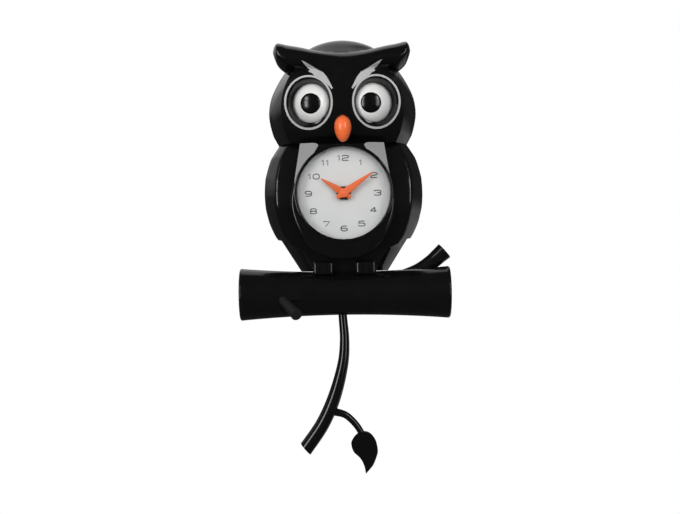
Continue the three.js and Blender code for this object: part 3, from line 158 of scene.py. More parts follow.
def drawn(name, places, fill):
    """A loop of corners at these places, open for editing."""
    piece = start(name, bpy.ops.mesh.primitive_circle_add, vertices=len(places), fill_type=fill)
    edit(piece)
    for corner, place in zip(bmesh.from_edit_mesh(piece.data).verts, places):
        corner.co = place
    bmesh.update_edit_mesh(piece.data)
    return piece


def skin(name, rings):
    """A closed piece: a face in the first ring, extruded from ring to ring."""
    piece = drawn(name, rings[0], "NGON")
    place = {k: k for k in range(len(rings[0]))}
    for ring in rings[1:]:
        bpy.ops.mesh.extrude_region_move()
        mesh = bmesh.from_edit_mesh(piece.data)
        mesh.verts.index_update()
        moved = {}
        for corner in mesh.verts:
            if corner.select:
                before = next(e.other_vert(corner) for e in corner.link_edges if not e.other_vert(corner).select)
                moved[corner.index] = place[before.index]
                corner.co = ring[moved[corner.index]]
        place = moved
    bmesh.update_edit_mesh(piece.data)
    leave_edit()
    return piece


def turned(name, profile, middle, sides=96):
    """A ring: the closed profile of (radius, Y) points, spun round the line along Y through the middle."""
    piece = drawn(name, [spot(middle[0] + radius, y, middle[1]) for radius, y in profile], "NOTHING")
    bpy.ops.mesh.spin(steps=sides, angle=2 * math.pi, center=spot(middle[0], 0, middle[1]), axis=(0, 1, 0))
    bpy.ops.mesh.select_all(action="SELECT")
    bpy.ops.mesh.remove_doubles(threshold=WELD)
    leave_edit()
    return piece


def apply(piece, step):
    pick(piece)
    bpy.ops.object.modifier_apply(modifier=step.name)


def combine(piece, tool, way):
    """Joins the tool to the piece, cuts it out or keeps what both share; the tool then goes."""
    step = piece.modifiers.new(way.lower(), "BOOLEAN")
    step.operation, step.solver, step.object = way, "EXACT", tool
    apply(piece, step)
    bpy.data.objects.remove(tool)
    return piece


def slice_off(piece, point, outward):
    """Cuts away what lies beyond a plane and closes the cut."""
    edit(piece)
    bpy.ops.mesh.bisect(plane_co=point, plane_no=outward, use_fill=True, clear_outer=True, threshold=CUT_EXACT)
    bpy.ops.mesh.mark_sharp()
    leave_edit()
    return piece


def round_edges(piece, width, steps=3, angle=40):
    """Rounds the edges that turn by more than an angle."""
    step = piece.modifiers.new("rounded edges", "BEVEL")
    step.width, step.segments, step.limit_method = width / MM_IN_M, steps, "ANGLE"
    step.angle_limit, step.use_clamp_overlap = math.radians(angle), True
    apply(piece, step)
    return piece


def block(name, low, high):
    """A square block from its lowest to its highest corner."""
    piece = start(name, bpy.ops.mesh.primitive_cube_add, size=1)
    edit(piece)
    bpy.ops.transform.resize(value=[(b - a) / MM_IN_M for a, b in zip(low, high)])
    bpy.ops.transform.translate(value=spot(*[(a + b) / 2 for a, b in zip(low, high)]))
    leave_edit()
    return piece


def disc(name, middle, rows, sides=FINE):
    """A round piece along Y, from rows of (Y, radius)."""
    x, z = middle
    return skin(name, [[spot(x + radius * math.cos(turn), y, z + radius * math.sin(turn)) for turn in turns(sides)]
                       for y, radius in rows])


def ball(name, middle, radius, sides=FINE):
    piece = start(name, bpy.ops.mesh.primitive_uv_sphere_add, segments=sides, ring_count=sides // 2,
                  radius=radius / MM_IN_M)
    edit(piece)
    bpy.ops.transform.translate(value=spot(*middle))
    leave_edit()
    return piece


def tube(name, rows, sides=40):
    """A round bar along a path of (x, y, z, radius) rows, its ends cut square."""
    rings = []
    for i, (x, y, z, radius) in enumerate(rows):
        a, b = rows[max(i - 1, 0)], rows[min(i + 1, len(rows) - 1)]
        along = Vector((b[0] - a[0], b[1] - a[1], b[2] - a[2])).normalized()
        side = along.cross(Vector((0, 1, 0)) if abs(along.y) < 0.8 else Vector((0, 0, 1))).normalized()
        over = along.cross(side)
        ring = []
        for turn in turns(sides):
            out = side * math.cos(turn) + over * math.sin(turn)
            ring.append(spot(x + out.x * radius, y + out.y * radius, z + out.z * radius))
        rings.append(ring)
    return skin(name, rings)


def fit_out(piece, body, slot, material, *nodes, angle=38):
    """Smooths a finished piece, gives it its material, hangs it under its body's empty and hides the nodes it
    replaces.
    """
    pick(piece)
    bpy.ops.object.shade_smooth_by_angle(angle=math.radians(angle))
    piece.data.materials.clear()
    piece.data.materials.append(material)
    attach(piece, body)
    if nodes:
        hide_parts(*nodes)
    return piece


# ------------ surfaces

def shade(red, green, blue):
    """A colour as seen on a screen, 0 to 255, in linear light."""
    return [((c / 255 + 0.055) / 1.055) ** 2.4 if c > 10 else c / 255 / 12.92 for c in (red, green, blue)] + [1]


def tree_of(holder):
    """The node tree of a material or a world."""
    holder.use_nodes = True
    return holder.node_tree


def shader_nodes(tree, *kinds):
    """New shader nodes of these kinds."""
    return [tree.nodes.new("ShaderNode" + kind) for kind in kinds]


def put(node, **values):
    """Sets a node's inputs, each named with _ for a space."""
    for key, value in values.items():
        node.inputs[key.replace("_", " ")].default_value = value


def wire(tree, *links):
    """Makes each link, from an output of one node to an input of another."""
    for source, output, target, into in links:
        tree.links.new(source.outputs[output], target.inputs[into])


def moulded_group():
    """Cloudy tint, uneven roughness and fine bumps of a moulded or painted surface."""
    group = bpy.data.node_groups.new("moulded surface", "ShaderNodeTree")
    for name in ("Cloud size", "Grain size", "Smoothest", "Roughest", "Bump depth"):
        group.interface.new_socket(name=name, in_out="INPUT", socket_type="NodeSocketFloat")
    for name, kind in (("Cloud", "Float"), ("Roughness", "Float"), ("Normal", "Vector")):
        group.interface.new_socket(name=name, in_out="OUTPUT", socket_type="NodeSocket" + kind)
    given, result = group.nodes.new("NodeGroupInput"), group.nodes.new("NodeGroupOutput")
    where, cloud, grain, rough, bump = shader_nodes(group, "TexCoord", "TexNoise", "TexNoise", "MapRange", "Bump")
    put(cloud, Detail=4)
    put(grain, Detail=3)
    put(rough, From_Min=0.3, From_Max=0.7)
    put(bump, Distance=0.0002)
    wire(group, (where, "Object", cloud, "Vector"), (given, "Cloud size", cloud, "Scale"),
         (where, "Object", grain, "Vector"), (given, "Grain size", grain, "Scale"), (cloud, "Fac", rough, "Value"),
         (given, "Smoothest", rough, "To Min"), (given, "Roughest", rough, "To Max"), (grain, "Fac", bump, "Height"),
         (given, "Bump depth", bump, "Strength"), (cloud, "Fac", result, "Cloud"),
         (rough, "Result", result, "Roughness"), (bump, "Normal", result, "Normal"))
    return group


MOULDED = moulded_group()


def moulded(tree, dark, light, smoothest, roughest, cloud, grain, bump):
    """The moulded surface in a material, and a tint between two colours that follows its clouds."""
    group, tint = shader_nodes(tree, "Group", "Mix")
    group.node_tree, tint.data_type = MOULDED, "RGBA"
    put(group, Cloud_size=cloud, Grain_size=grain, Smoothest=smoothest, Roughest=roughest, Bump_depth=bump)
    put(tint, A=dark, B=light)
    wire(tree, (group, "Cloud", tint, "Factor"))
    return group, tint


def surface(name, dark, light, smoothest, roughest, cloud=70, grain=1500, bump=0.05, **finish):
    """A Principled material whose tint, roughness and bumps come from the moulded surface."""
    material = bpy.data.materials.new(name)
    tree = tree_of(material)
    shader = tree.nodes["Principled BSDF"]
    group, tint = moulded(tree, shade(*dark), shade(*light), smoothest, roughest, cloud, grain, bump)
    wire(tree, (tint, "Result", shader, "Base Color"), (group, "Roughness", shader, "Roughness"),
         (group, "Normal", shader, "Normal"))
    put(shader, **finish)
    return material


SHELL_BLACK = surface("gloss black shell", (9, 9, 10), (13, 13, 14), 0.13, 0.18, bump=0.02, IOR=1.5)
LOG_BLACK = surface("gloss black log", (9, 9, 10), (14, 14, 15), 0.12, 0.18, bump=0.02, IOR=1.5)
PEG_GREY = surface("satin grey peg", (20, 20, 21), (26, 26, 27), 0.5, 0.62, bump=0.06)
BRANCH_BLACK = surface("gloss black branch", (9, 9, 10), (14, 14, 15), 0.15, 0.2, grain=600, bump=0.004, IOR=1.5)
LEAF_BLACK = surface("satin black leaf", (8, 8, 9), (12, 12, 12), 0.12, 0.2, bump=0.01)
BEZEL_BLACK = surface("gloss black bezel", (10, 10, 11), (15, 15, 16), 0.08, 0.14, bump=0.02)
PUPIL_BLACK = surface("polished black pupil", (6, 6, 7), (10, 10, 11), 0.16, 0.22, bump=0.01, IOR=1.5)
EYE_WHITE = surface("gloss white eye", (232, 232, 230), (240, 240, 238), 0.16, 0.24, bump=0.02)
PAINT_GREY = surface("grey eye paint", (172, 172, 174), (186, 186, 187), 0.35, 0.5, bump=0.08)
BEAK_ORANGE = surface("gloss orange beak", (250, 112, 58), (255, 122, 66), 0.14, 0.22, bump=0.02)
HAND_ORANGE = surface("gloss orange hand", (236, 112, 62), (242, 124, 72), 0.2, 0.3, bump=0.03)
DIAL_WHITE = surface("satin white dial", (222, 222, 221), (230, 230, 229), 0.4, 0.52, grain=2400, bump=0.06)
DIAL_INK = surface("grey dial ink", (46, 46, 49), (62, 62, 65), 0.45, 0.6, cloud=400)
REAR_BLACK = surface("matt black moulding", (20, 20, 21), (30, 30, 31), 0.46, 0.6, grain=2600, bump=0.3)
LINK_GREY = surface("grey moulding", (92, 94, 98), (108, 110, 114), 0.38, 0.5, grain=2000, bump=0.15)
STEEL = surface("plated steel", (168, 170, 173), (196, 198, 200), 0.22, 0.36, cloud=300, bump=0.06, Metallic=1)
BRASS = surface("turned brass", (186, 150, 74), (206, 172, 96), 0.2, 0.34, cloud=300, bump=0.06, Metallic=1)
DARK_NUT = surface("blackened nut", (26, 26, 27), (38, 38, 39), 0.3, 0.45, cloud=300, bump=0.06)
BOARD_GREEN = surface("green board", (22, 78, 44), (38, 104, 62), 0.3, 0.46, cloud=220, bump=0.1)
COPPER = surface("copper winding", (160, 84, 44), (196, 112, 66), 0.24, 0.4, cloud=500, bump=0.2, Metallic=1)
RUBBER = surface("black rubber", (24, 24, 24), (34, 34, 34), 0.7, 0.85, grain=2200, bump=0.3)


def clear_lens():
    """Clear plastic: see-through, with a faint reflection that follows the angle."""
    material = bpy.data.materials.new("clear dial lens")
    tree = tree_of(material)
    tree.nodes.remove(tree.nodes["Principled BSDF"])
    group, tint = moulded(tree, (0.97, 0.98, 0.98, 1), (0.99, 0.99, 0.99, 1), 0.02, 0.05, 60, 1200, 0.01)
    seen, gloss, edge, both = shader_nodes(tree, "BsdfTransparent", "BsdfGlossy", "Fresnel", "MixShader")
    put(edge, IOR=1.3)
    wire(tree, (tint, "Result", seen, "Color"), (group, "Roughness", gloss, "Roughness"),
         (group, "Normal", gloss, "Normal"), (edge, "Fac", both, "Fac"), (seen, "BSDF", both, 1),
         (gloss, "BSDF", both, 2), (both, "Shader", tree.nodes["Material Output"], "Surface"))
    return material


# ------------ head

FRONT, REAR = -1, 1
FRONT_CURVES = {"head": through(HEAD_SIDE, 4)[:-1] + through(HEAD_FACE, 3), "body": through(BODY_SECTION, 3)}
REAR_ROUNDING = 0.59                    # 1 is an ellipse, and less is squarer
CROWN_LOW, CROWN_RISE = 88, 30          # heights over which the flat face turns into the round crown
LEAST_HALF = 0.6


def across(facing, soft, part):
    """Half of a level section, from the side to the middle, as shares of half-width and depth."""
    curve = FRONT_CURVES[part]
    out = []
    for k, (u, v) in enumerate(curve):
        turn = math.pi / 2 * k / (len(curve) - 1)
        if facing == FRONT:
            out.append((u + (math.cos(turn) - u) * soft, v + (math.sin(turn) - v) * soft))
        else:
            out.append((math.cos(turn) ** REAR_ROUNDING, math.sin(turn) ** REAR_ROUNDING))
    return out


def level_ring(z, half, depth, facing, soft, past, part):
    """A level section of a shell, from its right side round to its left."""
    open_y = SPLIT if facing == FRONT else REAR_START
    curve = across(facing, soft, part)
    right = [spot(half * u, open_y + facing * depth * v, z) for u, v in curve]
    left = [spot(-half * u, open_y + facing * depth * v, z) for u, v in reversed(curve[:-1])]
    if past:
        right.insert(0, spot(half, open_y - facing * past, z))
        left.append(spot(-half, open_y - facing * past, z))
    return right + left


def softness(z):
    """The crown is round; the face below it is flat."""
    t = min(max((z - CROWN_LOW) / CROWN_RISE, 0), 1)
    return t * t * (3 - 2 * t)


def stacked(name, rows, facing, inset=0, past=0):
    """A stack of level sections, each smaller by the inset."""
    part = "head" if rows is HEAD_ROWS else "body"
    rows = through(rows, ROW_STEPS)
    low, high = sorted((rows[0][0], rows[-1][0]))
    squeeze = (high - low - 2 * inset) / (high - low)
    rings = []
    for z, half, depth in rows:
        level = (low + high) / 2 + (z - (low + high) / 2) * squeeze
        half, depth = max(half - inset, LEAST_HALF), max(depth - inset, LEAST_HALF)
        rings.append(level_ring(level, half, depth, facing, softness(z), past, part))
    return skin(name, rings)


def face(x, z):
    """Y of the face at a place, without the brow."""
    half, depth = between(through(HEAD_ROWS, ROW_STEPS), z)[1:]
    return SPLIT - depth * between(across(FRONT, softness(z), "head"), abs(x) / half)[1]


BROW_BACK, BROW_SIDES, BROW_SQUARING = -33, 40, 2 / 2.05


def brow_form():
    """The brow and both ears: one bar across the head."""
    mirrored = [(-x, low, high, front) for x, low, high, front in reversed(BROW_ROWS[1:])] + BROW_ROWS
    rings = []
    for x, low, high, front in through(mirrored, 4):
        ring = []
        for turn in turns(BROW_SIDES):
            c, s = (math.copysign(abs(v) ** BROW_SQUARING, v) for v in (math.cos(turn), math.sin(turn)))
            ring.append(spot(x, (front + BROW_BACK) / 2 + (front - BROW_BACK) / 2 * c,
                             (low + high) / 2 + (high - low) / 2 * s))
        rings.append(ring)
    return skin("brow", rings)


SOCKET_TURN, SOCKET_WALL, SOCKET_SEAT = math.radians(18), 2.4, 18.6
RIM_X, RIM_Z, RIM_HALF_WIDTH, RIM_HALF_HEIGHT = 26.4, 70.4, 18.2, 20.3
APERTURE, APERTURE_REACH, STEP_DEPTH = 15, 9.95, 1.8
WALL_BEHIND, FUNNEL_BEHIND = 2.2, 5     # how far the wall and the funnel pass the aperture
WALL_SUNK, FUNNEL_AHEAD = 1.3, -90      # how deep the wall lies under the face, and where the funnel ends
FLAT_Y = -100                           # where flat pieces are drawn before they are laid on the face


def rim(side, grow):
    """The oval round an eye, larger by some millimetres."""
    return [(side * (RIM_X + (RIM_HALF_WIDTH + grow) * math.cos(turn)),
             RIM_Z + (RIM_HALF_HEIGHT + grow) * math.sin(turn)) for turn in turns(FINE)]


def socket(name, side, wall=0):
    """The stepped funnel in front of an eye; with a wall, the solid round it."""
    middle = Vector((side * EYE_X, EYE_Y, EYE_Z))
    out = Vector((side * math.sin(SOCKET_TURN), -math.cos(SOCKET_TURN), 0))
    aside = Vector((side * math.cos(SOCKET_TURN), math.sin(SOCKET_TURN), 0))
    inner = [middle + out * APERTURE_REACH + (APERTURE + wall) * (
        aside * math.cos(turn) + Vector((0, 0, math.sin(turn)))) for turn in turns(FINE)]
    rings = [[p - out * (WALL_BEHIND if wall else FUNNEL_BEHIND) for p in inner], inner]
    if wall:
        for share in (1, 0.7, 0.4, 0.1):
            oval = [(side * RIM_X + (x - side * RIM_X) * share, RIM_Z + (z - RIM_Z) * share)
                    for x, z in rim(side, wall)]
            rings.append([Vector((x, face(x, z) + WALL_SUNK, z)) for x, z in oval])
    else:
        edge = [Vector((x, face(x, z), z)) for x, z in rim(side, 0)]
        step = [Vector(((a.x + b.x) / 2, b.y + STEP_DEPTH, (a.z + b.z) / 2)) for a, b in zip(inner, edge)]
        past = [b + (b - a) * 0.4 for a, b in zip(step, edge)]
        rings += [step, past, [Vector((p.x, FUNNEL_AHEAD, p.z)) for p in past]]
    return skin(name, [[spot(*p) for p in ring] for ring in rings])


def laid_on(piece, target, thick, lift=0.05):
    """Presses a flat piece onto the face from the front and gives it a thickness."""
    step = piece.modifiers.new("laid on", "SHRINKWRAP")
    step.target, step.wrap_method, step.offset = target, "PROJECT", lift / MM_IN_M
    step.use_project_x = step.use_project_z = False
    step.use_project_y = step.use_positive_direction = True
    step.use_negative_direction = False
    apply(piece, step)
    step = piece.modifiers.new("thickness", "SOLIDIFY")
    step.thickness, step.offset = thick / MM_IN_M, 0
    apply(piece, step)
    edit(piece)
    leave_edit()
    return piece


SIDES = {-1: "left", 1: "right"}
RING_OUTSIDE, RING_STEP = 0.7, 0.5      # how far the ring passes the rim, and the width of each of its three bands


def eye_ring(side, target):
    """The grey line round an eye."""
    piece = drawn("eye_ring_" + SIDES[side], [spot(x, FLAT_Y, z) for x, z in rim(side, RING_OUTSIDE)], "NOTHING")
    for k in (1, 2, 3):
        grow = RING_OUTSIDE - k * RING_STEP
        bpy.ops.mesh.extrude_region_move()
        mesh = bmesh.from_edit_mesh(piece.data)
        for corner in (v for v in mesh.verts if v.select):
            up, aside = corner.co.z * MM_IN_M + HANDS_BELOW_ORIGIN - RIM_Z, corner.co.x * MM_IN_M * side - RIM_X
            angle = math.atan2(up / (RIM_HALF_HEIGHT + grow + RING_STEP), aside / (RIM_HALF_WIDTH + grow + RING_STEP))
            corner.co = spot(side * (RIM_X + (RIM_HALF_WIDTH + grow) * math.cos(angle)), FLAT_Y,
                             RIM_Z + (RIM_HALF_HEIGHT + grow) * math.sin(angle))
    bmesh.update_edit_mesh(piece.data)
    leave_edit()
    return laid_on(piece, target, 0.4)


EYEBROW = [
    (31.2, 102.8), (27.3, 100.8), (23.5, 98.6), (18.9, 95.6), (14.5, 93.2), (11.7, 89.6), (9.4, 85.3), (7.2, 80.8),
    (8.3, 80.1), (9.8, 82.1), (11.0, 83.2), (14.8, 86.9), (18.4, 89.5), (21.5, 90.9), (22.3, 91.8), (23.05, 92.8),
    (26.0, 94.3), (23.8, 94.0), (24.6, 95.6), (27.4, 98.1), (29.4, 100.4),
]


def eyebrow(side, target):
    """The grey flash over an eye."""
    piece = drawn("eyebrow_" + SIDES[side], [spot(side * x, FLAT_Y, z) for x, z in EYEBROW], "NGON")
    bpy.ops.mesh.quads_convert_to_tris()
    bpy.ops.mesh.subdivide(number_cuts=4)
    leave_edit()
    return laid_on(piece, target, 0.3)


def make_head():
    head = stacked("head_front", HEAD_ROWS, FRONT)
    combine(head, brow_form(), "UNION")
    whole = twin(head, "whole_head")
    combine(head, stacked("head_cavity", HEAD_ROWS, FRONT, inset=SHELL, past=PAST), "DIFFERENCE")
    for side in SIDES:
        combine(head, socket("socket_wall", side, wall=SOCKET_WALL), "UNION")
    for side in SIDES:
        combine(head, socket("socket_funnel", side), "DIFFERENCE")
        combine(head, ball("eye_seat", (side * EYE_X, EYE_Y, EYE_Z), SOCKET_SEAT, 48), "DIFFERENCE")
    fit_out(head, "case", "gloss_black", SHELL_BLACK, "head_shell")
    for side in SIDES:
        fit_out(eye_ring(side, whole), "case", "gloss_black", PAINT_GREY)
        fit_out(eyebrow(side, whole), "case", "gloss_black", PAINT_GREY)
    bpy.data.objects.remove(whole)


EYE_BACK, AXLE_REACH, AXLE_RADIUS = 4, 20.6, 2
PUPIL_DROOP = math.radians(4)
# radius and reach from the eye's middle
PUPIL_ROWS = [
    (8, 14.6), (8, 15.62), (7.85, 15.85), (7, 16.34), (6, 16.72), (4.5, 17.2), (3, 17.53), (1.5, 17.73), (0.3, 17.79),
]


def make_eye(side):
    """An eyeball cut off behind, with its axle and crank, and its pupil."""
    name, x = SIDES[side], side * EYE_X
    eye = ball(name + "_eye_ball", (x, EYE_Y, EYE_Z), EYE_R)
    slice_off(eye, spot(0, EYE_Y + EYE_BACK, EYE_Z), (0, 1, 0))
    axle = [(x, EYE_Y, EYE_Z + up, AXLE_RADIUS) for up in (-AXLE_REACH, AXLE_REACH)]
    combine(eye, tube(name + "_axle", axle, 24), "UNION")
    crank = block(name + "_crank", (x - 3, EYE_Y + 3, EYE_Z - 1.5), (x + 3, EYE_Y + 14.5, EYE_Z + 1.5))
    combine(eye, crank, "UNION")
    fit_out(eye, name + "_eye", "eye_white", EYE_WHITE, name + "_eyeball")
    glance = math.radians(GLANCE[name])
    out = Vector((math.sin(glance) * math.cos(PUPIL_DROOP), -math.cos(glance) * math.cos(PUPIL_DROOP),
                  -math.sin(PUPIL_DROOP)))
    aside = Vector((math.cos(glance), math.sin(glance), 0))
    over = aside.cross(-out)
    middle = Vector((x, EYE_Y, EYE_Z))
    rings = [[spot(*(middle + out * reach + radius * (aside * math.cos(turn) + over * math.sin(turn))))
              for turn in turns(FINE)] for radius, reach in PUPIL_ROWS]
    fit_out(skin(name + "_eye_pupil", rings), name + "_eye", "gloss_black", PUPIL_BLACK, name + "_pupil")


# height and half-width
BEAK_ROWS = [
    (38.8, 0.3), (39.5, 2.1), (40.8, 3.4), (43, 4.8), (46, 5.9), (49.7, 6.6), (53, 6.4), (56, 5.3), (58.2, 3.2),
    (59.4, 1.2), (59.6, 0.3),
]
BEAK_Y, BEAK_STRETCH, BEAK_SIDES = -72, 1.26, 48


def make_beak():
    rings = [[spot(half * math.cos(turn), BEAK_Y + half * BEAK_STRETCH * math.sin(turn), z)
              for turn in turns(BEAK_SIDES)] for z, half in through(BEAK_ROWS, 4)]
    fit_out(skin("beak_orange", rings), "case", "orange", BEAK_ORANGE, "beak", angle=60)


make_head()
for side in SIDES:
    make_eye(side)
make_beak()


# ------------ body

BELLY_X, BELLY_Z, BELLY_REACH = -0.8, -7, 40        # middle of the belly, and how far its outline lies from it
BELLY_BACK, BELLY_FRONT, BELLY_EDGE, EDGE_STEPS = -40, -60.1, 2.4, 6
FACET_TURN, FACET_TILT = math.radians(20), math.radians(11.8)
FACET_Y, FACET_Z, FACET_X = -62.5, 38.5, {-1: 18.6, 1: 15.7}
# height and half-width; the far face is narrower
TAIL_ROWS, TAIL_NARROWER = [(-61.5, 34.8), (-45, 45.2), (-30, 54.6)], 11
WING_TIP_X, WING_TIP_Z, WING_CUT = 54, -35, (0.417, -0.909)
DIAL_WELL = 38.3


def belly_ring(y, inset):
    """The belly's outline, drawn in by some millimetres."""
    share = 1 - inset / BELLY_REACH
    right = through(BELLY_OUTLINE, 6)
    outline = right + [(-x, z) for x, z in reversed(right[:-1])]
    return [spot(x * share + BELLY_X, y, BELLY_Z + (z - BELLY_Z) * share) for x, z in outline]


def make_belly():
    """The chest and belly round the dial, with a flat facet at each side of the chest."""
    rings = [belly_ring(BELLY_BACK, 0), belly_ring(BELLY_FRONT, 0)]
    for k in range(1, EDGE_STEPS + 1):
        turn = math.pi / 2 * k / EDGE_STEPS
        rings.append(belly_ring(BELLY_FRONT - BELLY_EDGE * math.sin(turn), BELLY_EDGE * (1 - math.cos(turn))))
    belly = skin("belly", rings)
    for side, x in FACET_X.items():
        outward = (side * math.sin(FACET_TURN) * math.cos(FACET_TILT), -math.cos(FACET_TURN) * math.cos(FACET_TILT),
                   math.sin(FACET_TILT))
        slice_off(belly, spot(side * x, FACET_Y, FACET_Z), outward)
    return belly


def tail_block(name, y_near, y_far):
    """The tail under the body, narrowing downwards and towards its far face."""
    rings = []
    for z, half in TAIL_ROWS:
        far = half - TAIL_NARROWER
        rings.append([spot(half, y_near, z), spot(far, y_far, z), spot(-far, y_far, z), spot(-half, y_near, z)])
    return skin(name, rings)


def make_body():
    """The body's front with wings, belly and tail, hollow behind and open for the dial."""
    body = stacked("body_front", BODY_ROWS, FRONT)
    for side in SIDES:
        slice_off(body, spot(side * WING_TIP_X, 0, WING_TIP_Z), (side * WING_CUT[0], 0, WING_CUT[1]))
    combine(body, make_belly(), "UNION")
    combine(body, round_edges(tail_block("tail_front", SPLIT, -48.5), 1.2), "UNION")
    combine(body, block("saddle", (-24, -48, -61.7), (24, -36, -50)), "UNION")
    combine(body, stacked("body_cavity", BODY_ROWS[:11], FRONT, inset=BODY_SHELL, past=PAST), "DIFFERENCE")
    combine(body, disc("dial_well", (0, 0), [(-80, DIAL_WELL), (-46, DIAL_WELL)], 96), "DIFFERENCE")
    fit_out(body, "case", "gloss_black", SHELL_BLACK, "body_shell")


# height and depth behind the split
HEAD_BACK = [
    (39.6, 29.6), (46.7, 34.4), (64.7, 39), (80.5, 40), (97.2, 35.3), (104, 32.4), (110.3, 28.6), (114.5, 25),
    (118.6, 19.8), (121.4, 14.6), (123.4, 7), (124.1, 1),
]
BODY_BACK = [(-37, 31.2), (-31.5, 34.8), (-22.8, 38), (-13.5, 39.2), (2, 40), (18.6, 39.2), (29.2, 38), (43.2, 35)]
NECK_ROW = (43.2, 49.3, 0)              # carries the back of the body up into the head
CASE_SCREWS = [(-48, 62), (48, 62), (-50, -10), (50, -10)]
POST_RADIUS, SCREW_RECESS = 5.2, 3.3
KEYHOLE_LOW, KEYHOLE_HIGH, KEYHOLE_DEEP = 82, 92, -9
ENTRY_RADIUS, SHANK_RADIUS = 4.5, 2.5
BEYOND = 6                              # a cutter ends this far behind the back


def rear_half(name, rows, depths, inset=0, past=0):
    """The back of the head or of the body, as wide as its front at each height."""
    return stacked(name, [(z, half, between(depths, z)[1]) for z, half, _ in rows], REAR, inset, past)


def make_rear_cover():
    """The hollow back with its screw posts, battery window, keyhole and the slot for the pendulum's rod."""
    body_rows = [NECK_ROW] + BODY_ROWS[:12]
    cover = rear_half("rear_cover_moulding", HEAD_ROWS, HEAD_BACK)
    combine(cover, rear_half("rear_body", body_rows, BODY_BACK), "UNION")
    combine(cover, tail_block("rear_tail", REAR_START, 1), "UNION")
    slice_off(cover, spot(0, 0, 0), (0, 1, 0))
    hollow = rear_half("rear_head_hollow", HEAD_ROWS, HEAD_BACK, SHELL, PAST)
    combine(hollow, rear_half("rear_body_hollow", body_rows, BODY_BACK, SHELL, PAST), "UNION")
    combine(hollow, block("neck_hollow", (-34.3, -36.9, 33.3), (34.3, -13.1, 47.1)), "UNION")
    slice_off(hollow, spot(0, -SHELL, 0), (0, 1, 0))
    for place in CASE_SCREWS:
        combine(hollow, disc("screw_post", place, [(REAR_START, POST_RADIUS), (4, POST_RADIUS)], 32), "DIFFERENCE")
    combine(cover, hollow, "DIFFERENCE")
    for place in CASE_SCREWS:
        combine(cover, disc("screw_recess", place, [(-14, SCREW_RECESS), (BEYOND, SCREW_RECESS)], 32), "DIFFERENCE")
    for cutter in (
            block("battery_window", (-25.6, -12, -28), (25.6, BEYOND, 36)),
            disc("keyhole_entry", (0, KEYHOLE_LOW), [(KEYHOLE_DEEP, ENTRY_RADIUS), (BEYOND, ENTRY_RADIUS)], 48),
            block("keyhole_slot", (-SHANK_RADIUS, KEYHOLE_DEEP, KEYHOLE_LOW), (SHANK_RADIUS, BEYOND, KEYHOLE_HIGH)),
            disc("keyhole_end", (0, KEYHOLE_HIGH), [(KEYHOLE_DEEP, SHANK_RADIUS), (BEYOND, SHANK_RADIUS)], 32),
            block("rod_slot", (-12, -18.5, -75), (12, -9.5, -20))):
        combine(cover, cutter, "DIFFERENCE")
    fit_out(cover, "case", "black_plastic", REAR_BLACK, "rear_cover", angle=30)


make_body()
make_rear_cover()


# ------------ dial and hands

# radius and Y round the bezel
BEZEL_PROFILE = [
    (36.3, -55.6), (38, -55.6), (38, -62.8), (38.8, -62.9), (38.8, -63.2), (38.5, -63.5), (38, -63.6), (37.2, -63.6),
    (36.7, -63.4), (36.35, -63.0), (36.3, -62.5), (36.3, -58),
]
LENS_RADIUS, LENS_FRONT, LENS_DOME = 36, -62.0, 0.25


def make_bezel():
    bezel = turned("dial_bezel_ring", BEZEL_PROFILE, (0, 0), 128)
    fit_out(bezel, "case", "gloss_black", BEZEL_BLACK, "dial_bezel", angle=50)


def make_lens():
    rows = [(-61.0, LENS_RADIUS), (-61.4, LENS_RADIUS)]
    rows += [(LENS_FRONT - LENS_DOME * (1 - (r / LENS_RADIUS) ** 2), r) for r in (35.6, 32, 26, 20, 13, 6, 0.5)]
    lens = disc("dial_lens_clear", (0, 0), rows, 96)
    fit_out(lens, "case", "clear", clear_lens(), "dial_lens", angle=25)


def make_hand(name, body, length, angle, back, front, node):
    """A tapered hand with a low ridge, a short tail and a round boss."""
    rows = [(-6.5, 1.4), (-6.2, 1.62), (-3, 2), (0, 2.4), (3.4, 2.7), (5, 2.75), (length * 0.5, 1.95),
            (length - 0.6, 0.55), (length, 0.35)]
    rings = []
    for z, half in rows:
        crest = front - 0.12 if abs(z) < 3 else front + 0.15
        rings.append([spot(x, y, z) for x, y in (
            (half, back), (half, front + 0.55), (half * 0.85, front + 0.4), (0, crest),
            (-half * 0.85, front + 0.4), (-half, front + 0.55), (-half, back))])
    hand = skin(name, rings)
    boss = disc(name + "_boss", (0, 0), [(back, 3.6), (front + 0.3, 3.6), (front + 0.1, 3.5), (front, 3.2)], 48)
    combine(hand, boss, "UNION")
    edit(hand)
    bpy.ops.transform.rotate(value=math.radians(-angle), orient_axis="Y", center_override=spot(0, 0, 0))
    leave_edit()
    fit_out(hand, body, "orange", HAND_ORANGE, node, angle=30)


def make_hub():
    """The round pin that ends the hands' axis."""
    hub = disc("hand_pin", (0, 0), [(-60, 1.5), (-62.2, 1.5), (-62.4, 1.3), (-62.45, 0.9)], 32)
    fit_out(hub, "minute", "brass", HAND_ORANGE)


